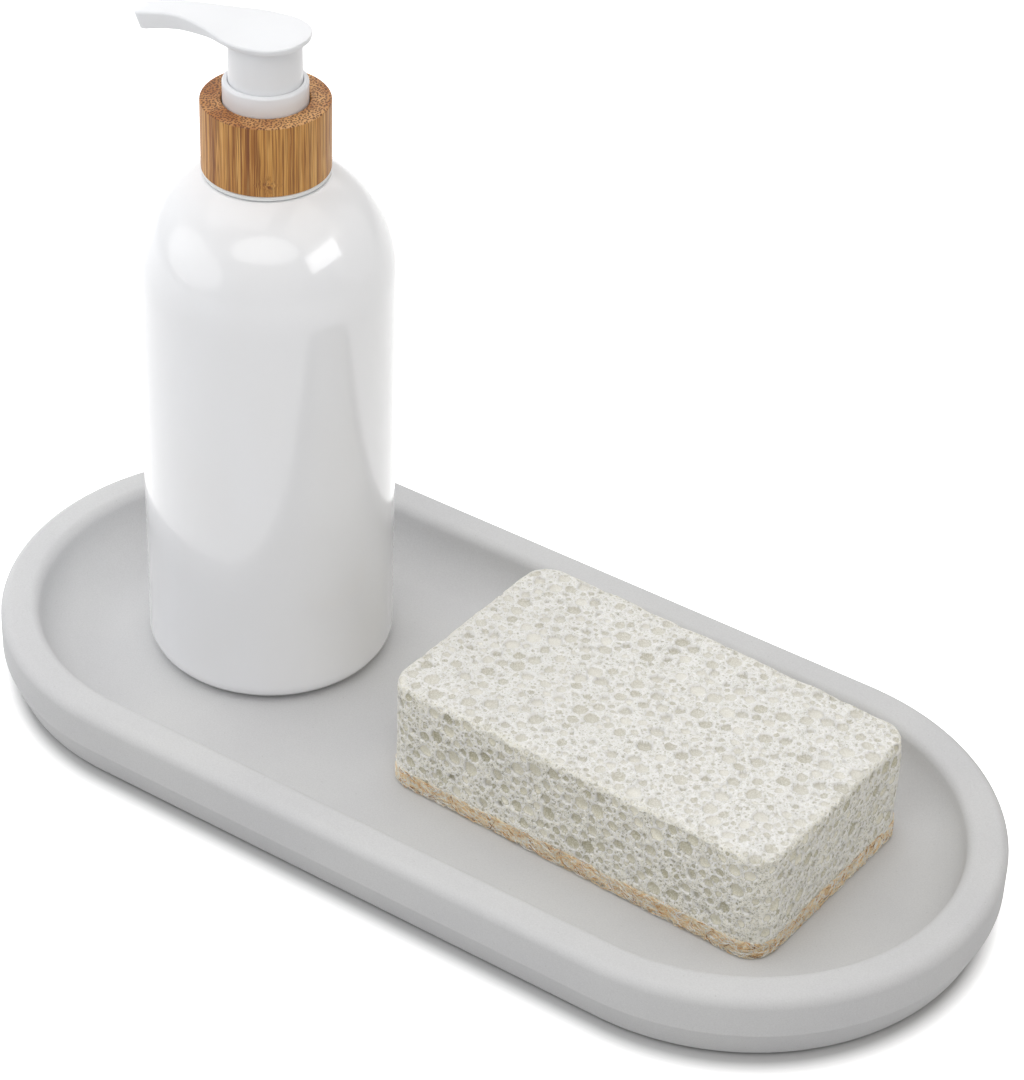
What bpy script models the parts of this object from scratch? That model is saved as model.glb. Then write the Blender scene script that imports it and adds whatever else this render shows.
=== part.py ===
"""Sink caddy: an oval stone tray with a pump bottle and a cleaning sponge.

Lengths are metres, +Z is up. The origin is the middle of the tray, on the
surface that its feet stand on. +X runs along the tray, from the bottle to
the sponge.
"""

import math

import bmesh
import bpy
from mathutils import Matrix, Vector

# Clearances between neighbouring pieces
SEAT_GAP = 0.0003
RUN_GAP = 0.0003
CUT_OVERRUN = 0.001

# Tray
TRAY_LENGTH = 0.300
TRAY_WIDTH = 0.1394
TRAY_HEIGHT = 0.0217
RIM_WIDTH = 0.0106
RIM_OUTER_ROUND = 0.0030
RIM_INNER_ROUND = 0.0030
BAND_LOW_EDGE = 0.0103
BASE_INSET = 0.0039
BASE_EDGE_ROUND = 0.0012
FLOOR_HEIGHT = 0.0070
BASIN_WALL_LEAN = 0.0014
BASIN_FILLET = 0.0115

# Tray feet
FOOT_RADIUS = 0.0060
FOOT_THICKNESS = 0.0020
FOOT_PROUD = 0.0008
FOOT_ROUND = 0.0004
FOOT_REACH_X = 0.098
FOOT_REACH_Y = 0.042

# Bottle
BOTTLE_FROM_END = 0.0729
BOTTLE_X = BOTTLE_FROM_END - TRAY_LENGTH / 2
BOTTLE_Y = 0.0049
BOTTLE_RADIUS = 0.0342
BOTTLE_WALL = 0.0011
BOTTLE_BASE_THICKNESS = 0.0013
BOTTLE_FOOT_ROUND = 0.0035
BOTTLE_PUSH_UP = 0.0025
BOTTLE_STANDING_RING = 0.0067
BOTTLE_RING_ROUND = 0.0010
SHOULDER_CENTRE_HEIGHT = 0.1189
LEDGE_RADIUS = 0.0170
NECK_RADIUS = 0.01095
NECK_BORE = 0.0096
NECK_HEIGHT = 0.0101
NECK_FILLET = 0.0012
NECK_LIP_ROUND = 0.0003
INNER_SHOULDER_ROUND = 0.0020

# Neck thread, and the thread inside the collar that runs on it
THREAD_PITCH = 0.003175
THREAD_DEPTH = 0.00095
THREAD_ROOT_WIDTH = 0.0017
THREAD_CREST_WIDTH = 0.0007
THREAD_TURNS = 1.5
THREAD_LEAD_IN_TURNS = 0.12
THREAD_START_ABOVE_LEDGE = 0.0030
COLLAR_THREAD_DEPTH = 0.0011

# Collar: a bamboo sleeve over a threaded insert
BAMBOO_RADIUS = 0.0169
BAMBOO_HEIGHT = 0.0198
BAMBOO_HOLE = 0.01145
BAMBOO_OUTER_ROUND = 0.0004
BAMBOO_HOLE_ROUND = 0.0003
INSERT_BORE = 0.0125
INSERT_WALL = 0.0013
INSERT_FLANGE_RADIUS = 0.0166
INSERT_FLANGE_THICKNESS = 0.0010
INSERT_FLANGE_ROUND = 0.0003
INSERT_WEB_THICKNESS = 0.0013
GASKET_RADIUS = 0.0116
GASKET_THICKNESS = 0.0010

# Pump housing
HOUSING_FLANGE_RADIUS = 0.0121
HOUSING_FLANGE_THICKNESS = 0.0012
HOUSING_BORE = 0.0066
HOUSING_WALL = 0.0009
SPRING_SEAT_DEPTH = 0.0411
BALL_CHAMBER_BORE = 0.0032
BALL_CHAMBER_DEPTH = 0.0052
BALL_SEAT_CONE_HEIGHT = 0.0023
INLET_BORE = 0.0016
INLET_LENGTH = 0.0010
HOUSING_CONE_DROP = 0.0005
HOUSING_CONE_HEIGHT = 0.0045
DIP_SOCKET_WALL = 0.0012
DIP_SOCKET_LENGTH = 0.0060
BALL_RADIUS = 0.0024

# Guide ring that closes the housing and guides the head
GUIDE_RADIUS = 0.0111
GUIDE_WALL = 0.0012
GUIDE_BASE_THICKNESS = 0.0010
GUIDE_LIP_RADIUS = 0.0126
GUIDE_LIP_THICKNESS = 0.0010
GUIDE_RISE = 0.0053
GUIDE_TOP_ROUND = 0.0005
GUIDE_PLUG_LENGTH = 0.0061

# Plunger: stem, plug, piston and spring. The head goes down by 11 mm, until
# the skirt is just above the floor of the guide ring.
STEM_RADIUS = 0.0032
STEM_BORE = 0.0020
STEM_PORT_RADIUS = 0.0006
STEM_PORT_HEIGHT = 0.0021
STEM_SOCKET_DEPTH = 0.0085
PISTON_LENGTH = 0.0072
PISTON_WAIST_INSET = 0.0007
PISTON_LIP_LENGTH = 0.0011
PISTON_GROOVE_DEPTH = 0.0015
PISTON_GROOVE_WIDTH = 0.0011
PLUG_FLANGE_RADIUS = 0.0058
PLUG_FLANGE_THICKNESS = 0.0014
PLUG_SHANK_LENGTH = 0.0016
PLUG_GUIDE_RADIUS = 0.0034
PLUG_GUIDE_LENGTH = 0.0040
PLUG_GUIDE_ROUND = 0.0006
SPRING_WIRE_RADIUS = 0.00045
SPRING_RADIUS = 0.0050
SPRING_TURNS = 7

# Dip tube
DIP_TUBE_RADIUS = 0.0032
DIP_TUBE_BORE = 0.0022
DIP_TUBE_FLOOR_CLEARANCE = 0.0020

# Pump head
HEAD_YAW_DEGREES = 191.0
HEAD_RISE = 0.0134
HEAD_REAR = 0.0120
SPOUT_REACH = 0.0363
HEAD_HALF_WIDTH = 0.0109
HEAD_SADDLE = 0.0012
SPOUT_DEPTH = 0.0051
SPOUT_TIP_SLANT = 0.0021
SPOUT_SLANT_LENGTH = 0.0100
HEAD_EDGE_ROUND = 0.0007
HEAD_UNDER_ROUND = 0.0005
SPOUT_SIDE_DRAFT_SHARE = 0.10
SKIRT_TOP_RADIUS = 0.0094
SKIRT_LOW_RADIUS = 0.0096
SKIRT_WALL = 0.0009
SKIRT_ENGAGEMENT = 0.0011
SKIRT_ROOF = 0.0026
SOCKET_WALL = 0.0014
SOCKET_LIFT = 0.0020
SOCKET_ROOF = 0.0018
CHANNEL_RADIUS = 0.0015
CHANNEL_START = 0.0015
CHANNEL_MOUTH_OVERRUN = 0.0020

# Sponge
SPONGE_X = 0.0480
SPONGE_Y = 0.0045
SPONGE_YAW_DEGREES = -2.0
SPONGE_LENGTH = 0.1200
SPONGE_WIDTH = 0.0700
SPONGE_CORNER = 0.0080
SPONGE_EDGE_ROUND = 0.0015
SCOUR_THICKNESS = 0.0050
FOAM_THICKNESS = 0.0274
SCOUR_EDGE_ROUND = 0.0008

# How finely curves are divided
CORNER_STEPS = 12
SPONGE_CORNER_STEPS = 6
BOTTLE_SEGMENTS = 40
COLLAR_SEGMENTS = 40
PUMP_SEGMENTS = 28
SMALL_SEGMENTS = 20
SPRING_STEPS_PER_TURN = 12
THREAD_STEPS_PER_PITCH = 6
SHOULDER_STEPS = 8

# Head stations from rear to tip: place along the head, half width, top
# above the middle of the disc, depth of the section
HEAD_STATION_SHARES = (
    (0.000, 0.10, 0.40, 0.25),
    (0.016, 0.37, 0.35, 0.30),
    (0.055, 0.67, 0.22, 0.33),
    (0.117, 0.88, 0.08, 0.33),
    (0.183, 0.98, 0.02, 0.33),
    (0.249, 1.00, 0.00, 0.33),
    (0.316, 0.99, 0.04, 0.33),
    (0.382, 0.93, 0.18, 0.34),
    (0.448, 0.81, 0.42, 0.40),
    (0.514, 0.68, 0.70, 0.52),
    (0.603, 0.55, 0.92, 0.69),
    (0.691, 0.45, 1.00, 0.83),
    (0.779, 0.41, 0.75, 0.92),
    (0.868, 0.385, 0.10, 0.97),
    (0.934, 0.36, -0.45, 1.00),
    (0.985, 0.29, -0.85, 1.00),
    (1.000, 0.16, -1.00, 0.98),
)

# Spout channel: place along the spout, depth under the head's top, radius
CHANNEL_STATION_SHARES = (
    (0.00, 0.34, 0.50),
    (0.20, 0.19, 0.47),
    (0.27, 0.12, 0.45),
    (0.38, 0.09, 0.53),
    (0.54, 0.17, 0.75),
    (0.71, 0.35, 1.00),
    (0.85, 0.56, 1.00),
    (1.00, 0.80, 1.00),
)

# Heights on the bottle's axis, measured from the bottle's standing ring
LEDGE = SHOULDER_CENTRE_HEIGHT + math.sqrt(BOTTLE_RADIUS**2 - LEDGE_RADIUS**2)
NECK_TOP = LEDGE + NECK_HEIGHT
INSERT_BOTTOM = LEDGE + RUN_GAP
BAMBOO_BOTTOM = INSERT_BOTTOM + INSERT_FLANGE_THICKNESS + SEAT_GAP
BAMBOO_TOP = BAMBOO_BOTTOM + BAMBOO_HEIGHT
GASKET_BOTTOM = NECK_TOP + SEAT_GAP
FLANGE_BOTTOM = GASKET_BOTTOM + GASKET_THICKNESS + SEAT_GAP
FLANGE_TOP = FLANGE_BOTTOM + HOUSING_FLANGE_THICKNESS
WEB_BOTTOM = FLANGE_TOP + SEAT_GAP
WEB_TOP = WEB_BOTTOM + INSERT_WEB_THICKNESS
WELL_FLOOR = WEB_BOTTOM + GUIDE_BASE_THICKNESS
LIP_BOTTOM = WEB_TOP + RUN_GAP
LIP_TOP = LIP_BOTTOM + GUIDE_LIP_THICKNESS
BAMBOO_STEP = LIP_TOP + RUN_GAP
GUIDE_TOP = BAMBOO_TOP + GUIDE_RISE
PLUG_END = WEB_BOTTOM - GUIDE_PLUG_LENGTH
HEAD_TOP = GUIDE_TOP + HEAD_RISE
SKIRT_BOTTOM = GUIDE_TOP - SKIRT_ENGAGEMENT
PISTON_TOP = PLUG_END - SEAT_GAP
PISTON_BOTTOM = PISTON_TOP - PISTON_LENGTH
STEM_BOTTOM = PISTON_BOTTOM - PISTON_LIP_LENGTH + SEAT_GAP
PLUG_TOP = STEM_BOTTOM - SEAT_GAP
PLUG_LOW_FACE = PLUG_TOP - PLUG_FLANGE_THICKNESS
SPRING_SEAT = FLANGE_BOTTOM - SPRING_SEAT_DEPTH
BALL_SEAT_TOP = SPRING_SEAT - BALL_CHAMBER_DEPTH
BALL_SEAT_LOW = BALL_SEAT_TOP - BALL_SEAT_CONE_HEIGHT
DIP_SOCKET_TOP = BALL_SEAT_LOW - INLET_LENGTH
DIP_SOCKET_BOTTOM = DIP_SOCKET_TOP - DIP_SOCKET_LENGTH
DIP_TUBE_TOP = DIP_SOCKET_TOP - SEAT_GAP
DIP_TUBE_BOTTOM = BOTTLE_PUSH_UP + BOTTLE_BASE_THICKNESS + DIP_TUBE_FLOOR_CLEARANCE


def clear_scene():
    for old in list(bpy.data.objects):
        bpy.data.objects.remove(old, do_unlink=True)


def finish(name, colour, roughness, metallic=0.0):
    """A plain Principled material for one kind of surface."""
    material = bpy.data.materials.new(name)
    material.use_nodes = True
    shader = material.node_tree.nodes["Principled BSDF"]
    shader.inputs["Base Color"].default_value = (*colour, 1.0)
    shader.inputs["Roughness"].default_value = roughness
    shader.inputs["Metallic"].default_value = metallic
    return material


def frame_at(name, location, yaw_degrees=0.0):
    """An empty on a joint's axis, which carries the pieces that move with it."""
    empty = bpy.data.objects.new(name, None)
    empty.location = location
    empty.rotation_euler.z = math.radians(yaw_degrees)
    bpy.context.scene.collection.objects.link(empty)
    return empty


def place(name, bm, material, parent=None, crease_degrees=35.0):
    """Turn a bmesh into a named, smoothly shaded object under its frame."""
    bmesh.ops.recalc_face_normals(bm, faces=bm.faces)
    mesh = bpy.data.meshes.new(name)
    bm.to_mesh(mesh)
    bm.free()
    mesh.materials.append(material)
    mesh.shade_smooth()
    mesh.set_sharp_from_angle(angle=math.radians(crease_degrees))
    piece = bpy.data.objects.new(name, mesh)
    piece.parent = parent
    bpy.context.scene.collection.objects.link(piece)
    return piece


def cutter(name, bm, parent=None):
    """A helper solid that only cuts or joins, and isn't a piece itself."""
    tool = place(name, bm, bpy.data.materials.new(name), parent)
    tool.hide_render = True
    tool.display_type = "WIRE"
    return tool


def boolean(piece, tool, operation):
    modifier = piece.modifiers.new(tool.name, "BOOLEAN")
    modifier.operation = operation
    modifier.object = tool
    modifier.solver = "EXACT"


def rounded(corners, steps=3):
    """Points of an outline whose corners are (across, up, radius), each round one as an arc."""
    points = []
    count = len(corners)
    for index, (across, up, radius) in enumerate(corners):
        corner = Vector((across, up))
        if radius <= 0:
            points.append(corner)
            continue
        before = (Vector(corners[index - 1][:2]) - corner).normalized()
        after = (Vector(corners[(index + 1) % count][:2]) - corner).normalized()
        half_angle = before.angle(after) / 2
        reach = radius / math.tan(half_angle)
        centre = corner + (before + after).normalized() * (radius / math.sin(half_angle))
        start = corner + before * reach - centre
        turn = (corner + after * reach - centre).angle_signed(start)
        for step in range(steps + 1):
            angle = turn * step / steps
            points.append(centre + Matrix.Rotation(angle, 2) @ start)
    return points


def turned(outline, segments):
    """Spin a closed outline, or one that starts and ends on the axis, about Z."""
    bm = bmesh.new()
    ring = [bm.verts.new((point[0], 0, point[1])) for point in outline]
    on_axis = outline[0][0] == 0 and outline[-1][0] == 0
    edges = [bm.edges.new(pair) for pair in zip(ring, ring[1:])]
    if not on_axis:
        edges.append(bm.edges.new((ring[-1], ring[0])))
    bmesh.ops.spin(
        bm,
        geom=ring + edges,
        axis=(0, 0, 1),
        cent=(0, 0, 0),
        angle=math.tau,
        steps=segments,
        use_merge=True,
        use_duplicate=False,
    )
    bmesh.ops.remove_doubles(bm, verts=bm.verts, dist=SEAT_GAP / 100)
    return bm


def rounded_rectangle(half_x, half_y, corner, inset, steps):
    """One level outline, counterclockwise, drawn in by the inset."""
    radius = corner - inset
    points = []
    for quarter in range(4):
        side_x = 1 if quarter in (0, 3) else -1
        side_y = 1 if quarter in (0, 1) else -1
        centre = Vector((side_x * (half_x - corner), side_y * (half_y - corner)))
        for step in range(steps + 1):
            angle = math.pi / 2 * (quarter + step / steps)
            point = centre + radius * Vector((math.cos(angle), math.sin(angle)))
            if not points or (point - points[-1]).length > SEAT_GAP / 100:
                points.append(point)
    if (points[0] - points[-1]).length < SEAT_GAP / 100:
        points.pop()
    return points


def bridged(rings):
    """Join rings of equally many points into a closed solid with flat ends."""
    bm = bmesh.new()
    loops = [[bm.verts.new(point) for point in ring] for ring in rings]
    for lower, upper in zip(loops, loops[1:]):
        for index in range(len(lower)):
            following = (index + 1) % len(lower)
            bm.faces.new((lower[index], lower[following], upper[following], upper[index]))
    bm.faces.new(reversed(loops[0]))
    bm.faces.new(loops[-1])
    return bm


def stacked(half_x, half_y, corner, profile, steps):
    """A solid of level outlines: the profile gives each one's inset and height."""
    rings = []
    for inset, height in profile:
        outline = rounded_rectangle(half_x, half_y, corner, inset, steps)
        rings.append([(point.x, point.y, height) for point in outline])
    return bridged(rings)


def tooth_share(distance):
    """Height of a thread tooth at a distance along the axis from its middle."""
    flank = (THREAD_ROOT_WIDTH - THREAD_CREST_WIDTH) / 2
    return min(1.0, max(0.0, (THREAD_ROOT_WIDTH / 2 - abs(distance)) / flank))


def raise_thread(bm, bore_or_root, start, depth):
    """Push the points of a cylinder's wall out, or in, along a right-hand helix."""
    for vert in bm.verts:
        radius = math.hypot(vert.co.x, vert.co.y)
        if abs(radius - bore_or_root) > RUN_GAP / 10:
            continue
        turn = math.atan2(vert.co.y, vert.co.x) / math.tau % 1.0
        rise = 0.0
        for wrap in range(math.ceil(THREAD_TURNS) + 1):
            along = turn + wrap
            lead_in = min(along, THREAD_TURNS - along) / THREAD_LEAD_IN_TURNS
            middle = start + THREAD_PITCH * along
            height = tooth_share(vert.co.z - middle) * min(1.0, max(0.0, lead_in))
            rise = max(rise, height)
        scale = (radius + depth * rise) / radius
        vert.co.x *= scale
        vert.co.y *= scale


def thread_rows(low, high):
    """Heights at which a threaded wall is divided, from low to high."""
    count = round((high - low) / THREAD_PITCH * THREAD_STEPS_PER_PITCH)
    return [low + (high - low) * row / count for row in range(count + 1)]


def tray_profile():
    """Inset and height from the middle of the underside round to the basin floor."""
    corners = (
        (BASE_INSET, FOOT_PROUD, BASE_EDGE_ROUND),
        (0, BAND_LOW_EDGE, 0),
        (0, TRAY_HEIGHT, RIM_OUTER_ROUND),
        (RIM_WIDTH, TRAY_HEIGHT, RIM_INNER_ROUND),
        (RIM_WIDTH + BASIN_WALL_LEAN, FLOOR_HEIGHT, BASIN_FILLET),
        (TRAY_WIDTH / 2, FLOOR_HEIGHT, 0),
        (TRAY_WIDTH / 2, FOOT_PROUD, 0),
    )
    return rounded(corners, steps=4)[:-2]


def foot_places():
    return [(x * FOOT_REACH_X, y * FOOT_REACH_Y) for y in (-1, 1) for x in (-1, 1)]


def make_tray(stone):
    bm = stacked(TRAY_LENGTH / 2, TRAY_WIDTH / 2, TRAY_WIDTH / 2, tray_profile(), CORNER_STEPS)
    tray = place("tray_body", bm, stone)
    depth = FOOT_THICKNESS - FOOT_PROUD + SEAT_GAP
    pocket = (
        (0, FOOT_PROUD + depth),
        (FOOT_RADIUS + SEAT_GAP, FOOT_PROUD + depth),
        (FOOT_RADIUS + SEAT_GAP, FOOT_PROUD - CUT_OVERRUN),
        (0, FOOT_PROUD - CUT_OVERRUN),
    )
    for index, (x, y) in enumerate(foot_places(), start=1):
        tool = cutter(f"foot_pocket_cut_{index}", turned(pocket, SMALL_SEGMENTS))
        tool.location = (x, y, 0)
        boolean(tray, tool, "DIFFERENCE")


def make_feet(rubber):
    outline = [Vector((0, 0))]
    outline += rounded(((FOOT_RADIUS, 0, FOOT_ROUND), (FOOT_RADIUS, FOOT_THICKNESS, 0), (0, FOOT_ROUND, 0)))[:-1]
    outline.append(Vector((0, FOOT_THICKNESS)))
    for index, (x, y) in enumerate(foot_places(), start=1):
        foot = place(f"tray_foot_{index}", turned(outline, SMALL_SEGMENTS), rubber)
        foot.location = (x, y, 0)


def shoulder_arc(radius, from_angle, to_angle):
    """Points of the shoulder's round, which is centred on the bottle's axis."""
    points = []
    for step in range(SHOULDER_STEPS + 1):
        angle = from_angle + (to_angle - from_angle) * step / SHOULDER_STEPS
        height = SHOULDER_CENTRE_HEIGHT + radius * math.sin(angle)
        points.append(Vector((radius * math.cos(angle), height)))
    return points


def bottle_outline():
    """Outer and inner wall as one line, from the axis and back to it."""
    push_up_radius = BOTTLE_RADIUS - BOTTLE_STANDING_RING - BOTTLE_PUSH_UP
    base = rounded(
        (
            (0, BOTTLE_PUSH_UP, 0),
            (push_up_radius, BOTTLE_PUSH_UP, BOTTLE_RING_ROUND),
            (BOTTLE_RADIUS - BOTTLE_STANDING_RING, 0, BOTTLE_RING_ROUND),
            (BOTTLE_RADIUS, 0, BOTTLE_FOOT_ROUND),
            (BOTTLE_RADIUS, SHOULDER_CENTRE_HEIGHT, 0),
        )
    )[:-1]
    outer = shoulder_arc(BOTTLE_RADIUS, 0, math.acos(LEDGE_RADIUS / BOTTLE_RADIUS))
    neck_foot = rounded(
        (
            (LEDGE_RADIUS, LEDGE, 0),
            (NECK_RADIUS, LEDGE, NECK_FILLET),
            (NECK_RADIUS, NECK_TOP, 0),
        )
    )[1:-1]
    thread_low = neck_foot[-1].y + NECK_LIP_ROUND
    thread_high = NECK_TOP - NECK_LIP_ROUND
    wall = [Vector((NECK_RADIUS, z)) for z in thread_rows(thread_low, thread_high)]
    inner_ledge = LEDGE - BOTTLE_WALL
    inner_radius = BOTTLE_RADIUS - BOTTLE_WALL
    inner_angle = math.asin((inner_ledge - SHOULDER_CENTRE_HEIGHT) / inner_radius)
    mouth = rounded(
        (
            (NECK_RADIUS, NECK_TOP, NECK_LIP_ROUND),
            (NECK_BORE, NECK_TOP, NECK_LIP_ROUND),
            (NECK_BORE, inner_ledge, INNER_SHOULDER_ROUND),
            (inner_radius * math.cos(inner_angle), inner_ledge, 0),
        ),
        steps=2,
    )[:-1]
    inner = shoulder_arc(inner_radius, inner_angle, 0)
    inner_push_up = BOTTLE_PUSH_UP + BOTTLE_BASE_THICKNESS
    floor = rounded(
        (
            (inner_radius, SHOULDER_CENTRE_HEIGHT, 0),
            (inner_radius, BOTTLE_BASE_THICKNESS, BOTTLE_FOOT_ROUND - BOTTLE_WALL),
            (BOTTLE_RADIUS - BOTTLE_STANDING_RING, BOTTLE_BASE_THICKNESS, BOTTLE_RING_ROUND),
            (push_up_radius, inner_push_up, BOTTLE_RING_ROUND),
            (0, inner_push_up, 0),
        ),
        steps=2,
    )[1:]
    return base + outer + neck_foot + wall + mouth + inner + floor


def make_bottle(plastic, parent):
    bm = turned(bottle_outline(), BOTTLE_SEGMENTS)
    raise_thread(bm, NECK_RADIUS, LEDGE + THREAD_START_ABOVE_LEDGE, THREAD_DEPTH)
    place("bottle_shell", bm, plastic, parent)


def make_collar(bamboo, plastic, parent):
    sleeve_bore = INSERT_BORE + INSERT_WALL + SEAT_GAP
    sleeve = rounded(
        (
            (sleeve_bore, BAMBOO_BOTTOM, 0),
            (BAMBOO_RADIUS, BAMBOO_BOTTOM, BAMBOO_OUTER_ROUND),
            (BAMBOO_RADIUS, BAMBOO_TOP, BAMBOO_OUTER_ROUND),
            (BAMBOO_HOLE, BAMBOO_TOP, BAMBOO_HOLE_ROUND),
            (BAMBOO_HOLE, BAMBOO_STEP, 0),
            (sleeve_bore, BAMBOO_STEP, 0),
        ),
        steps=2,
    )
    place("bamboo_collar", turned(sleeve, COLLAR_SEGMENTS), bamboo, parent)

    hole = GUIDE_RADIUS + RUN_GAP
    outline = rounded(
        (
            (INSERT_BORE, INSERT_BOTTOM, 0),
            (INSERT_FLANGE_RADIUS, INSERT_BOTTOM, INSERT_FLANGE_ROUND),
            (INSERT_FLANGE_RADIUS, INSERT_BOTTOM + INSERT_FLANGE_THICKNESS, INSERT_FLANGE_ROUND),
            (INSERT_BORE + INSERT_WALL, INSERT_BOTTOM + INSERT_FLANGE_THICKNESS, 0),
            (INSERT_BORE + INSERT_WALL, WEB_TOP, 0),
            (hole, WEB_TOP, 0),
            (hole, WEB_BOTTOM, 0),
            (INSERT_BORE, WEB_BOTTOM, 0),
        ),
        steps=2,
    )
    rows = thread_rows(INSERT_BOTTOM, NECK_TOP)[1:]
    outline += [Vector((INSERT_BORE, z)) for z in reversed(rows)]
    bm = turned(outline, COLLAR_SEGMENTS)
    start = LEDGE + THREAD_START_ABOVE_LEDGE - THREAD_PITCH / 2
    raise_thread(bm, INSERT_BORE, start, -COLLAR_THREAD_DEPTH)
    place("thread_insert", bm, plastic, parent)


def make_gasket(rubber, parent):
    bore = HOUSING_BORE + HOUSING_WALL + SEAT_GAP
    top = GASKET_BOTTOM + GASKET_THICKNESS
    outline = ((bore, GASKET_BOTTOM), (GASKET_RADIUS, GASKET_BOTTOM), (GASKET_RADIUS, top), (bore, top))
    place("neck_gasket", turned(outline, PUMP_SEGMENTS), rubber, parent)


def make_housing(plastic, parent):
    outer = HOUSING_BORE + HOUSING_WALL
    socket_bore = DIP_TUBE_RADIUS + SEAT_GAP
    socket_outer = socket_bore + DIP_SOCKET_WALL
    cone_top = SPRING_SEAT - HOUSING_CONE_DROP
    outline = (
        (HOUSING_BORE, FLANGE_TOP),
        (HOUSING_FLANGE_RADIUS, FLANGE_TOP),
        (HOUSING_FLANGE_RADIUS, FLANGE_BOTTOM),
        (outer, FLANGE_BOTTOM),
        (outer, cone_top),
        (socket_outer, cone_top - HOUSING_CONE_HEIGHT),
        (socket_outer, DIP_SOCKET_BOTTOM),
        (socket_bore, DIP_SOCKET_BOTTOM),
        (socket_bore, DIP_SOCKET_TOP),
        (INLET_BORE, DIP_SOCKET_TOP),
        (INLET_BORE, BALL_SEAT_LOW),
        (BALL_CHAMBER_BORE, BALL_SEAT_TOP),
        (BALL_CHAMBER_BORE, SPRING_SEAT),
        (HOUSING_BORE, SPRING_SEAT),
    )
    place("pump_housing", turned(outline, PUMP_SEGMENTS), plastic, parent)


def make_guide_ring(plastic, parent):
    stem_hole = STEM_RADIUS + RUN_GAP
    plug = HOUSING_BORE - SEAT_GAP
    well = GUIDE_RADIUS - GUIDE_WALL
    outline = rounded(
        (
            (stem_hole, PLUG_END, 0),
            (plug, PLUG_END, 0),
            (plug, WEB_BOTTOM, 0),
            (GUIDE_RADIUS, WEB_BOTTOM, 0),
            (GUIDE_RADIUS, LIP_BOTTOM, 0),
            (GUIDE_LIP_RADIUS, LIP_BOTTOM, 0),
            (GUIDE_LIP_RADIUS, LIP_TOP, 0),
            (GUIDE_RADIUS, LIP_TOP, 0),
            (GUIDE_RADIUS, GUIDE_TOP, GUIDE_TOP_ROUND),
            (well, GUIDE_TOP, GUIDE_TOP_ROUND),
            (well, WELL_FLOOR, 0),
            (stem_hole, WELL_FLOOR, 0),
        ),
        steps=2,
    )
    place("guide_ring", turned(outline, PUMP_SEGMENTS), plastic, parent)


def make_ball(steel, parent):
    """The inlet valve's ball, a little above its conical seat."""
    lean = math.atan2(BALL_CHAMBER_BORE - INLET_BORE, BALL_SEAT_CONE_HEIGHT)
    apex = BALL_SEAT_LOW - INLET_BORE / math.tan(lean)
    bm = bmesh.new()
    bmesh.ops.create_uvsphere(bm, u_segments=16, v_segments=10, radius=BALL_RADIUS)
    centre = apex + (BALL_RADIUS + SEAT_GAP) / math.sin(lean)
    bmesh.ops.translate(bm, verts=bm.verts, vec=(0, 0, centre))
    place("check_ball", bm, steel, parent)


def make_dip_tube(plastic, parent):
    outline = (
        (DIP_TUBE_BORE, DIP_TUBE_BOTTOM),
        (DIP_TUBE_RADIUS, DIP_TUBE_BOTTOM),
        (DIP_TUBE_RADIUS, DIP_TUBE_TOP),
        (DIP_TUBE_BORE, DIP_TUBE_TOP),
    )
    place("dip_tube", turned(outline, SMALL_SEGMENTS), plastic, parent)


def make_spring(steel, parent):
    """A coil from the seat in the housing up to the plug's flange."""
    low = SPRING_SEAT + SEAT_GAP + SPRING_WIRE_RADIUS
    high = PLUG_LOW_FACE - SEAT_GAP - SPRING_WIRE_RADIUS
    count = SPRING_TURNS * SPRING_STEPS_PER_TURN
    curve = bpy.data.curves.new("return_spring", "CURVE")
    curve.dimensions = "3D"
    curve.bevel_depth = SPRING_WIRE_RADIUS
    curve.bevel_resolution = 1
    curve.use_fill_caps = True
    curve.materials.append(steel)
    spline = curve.splines.new("POLY")
    spline.points.add(count)
    for index, point in enumerate(spline.points):
        angle = math.tau * index / SPRING_STEPS_PER_TURN
        height = low + (high - low) * index / count
        point.co = (SPRING_RADIUS * math.cos(angle), SPRING_RADIUS * math.sin(angle), height, 1)
    spring = bpy.data.objects.new("return_spring", curve)
    spring.parent = parent
    bpy.context.scene.collection.objects.link(spring)


def make_piston(rubber, parent):
    """A sleeve on the stem with a cup lip at each end."""
    bore = STEM_RADIUS + RUN_GAP
    lip = HOUSING_BORE - RUN_GAP
    waist = lip - PISTON_WAIST_INSET
    groove_outer = waist
    groove_inner = waist - PISTON_GROOVE_WIDTH
    outline = (
        (bore, PISTON_BOTTOM),
        (groove_inner, PISTON_BOTTOM),
        (groove_inner, PISTON_BOTTOM + PISTON_GROOVE_DEPTH),
        (groove_outer, PISTON_BOTTOM),
        (lip, PISTON_BOTTOM),
        (lip, PISTON_BOTTOM + PISTON_LIP_LENGTH),
        (waist, PISTON_BOTTOM + PISTON_LIP_LENGTH + PISTON_GROOVE_DEPTH),
        (waist, PISTON_TOP - PISTON_LIP_LENGTH - PISTON_GROOVE_DEPTH),
        (lip, PISTON_TOP - PISTON_LIP_LENGTH),
        (lip, PISTON_TOP),
        (bore, PISTON_TOP),
    )
    place("piston_seal", turned(outline, PUMP_SEGMENTS), rubber, parent)


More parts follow.
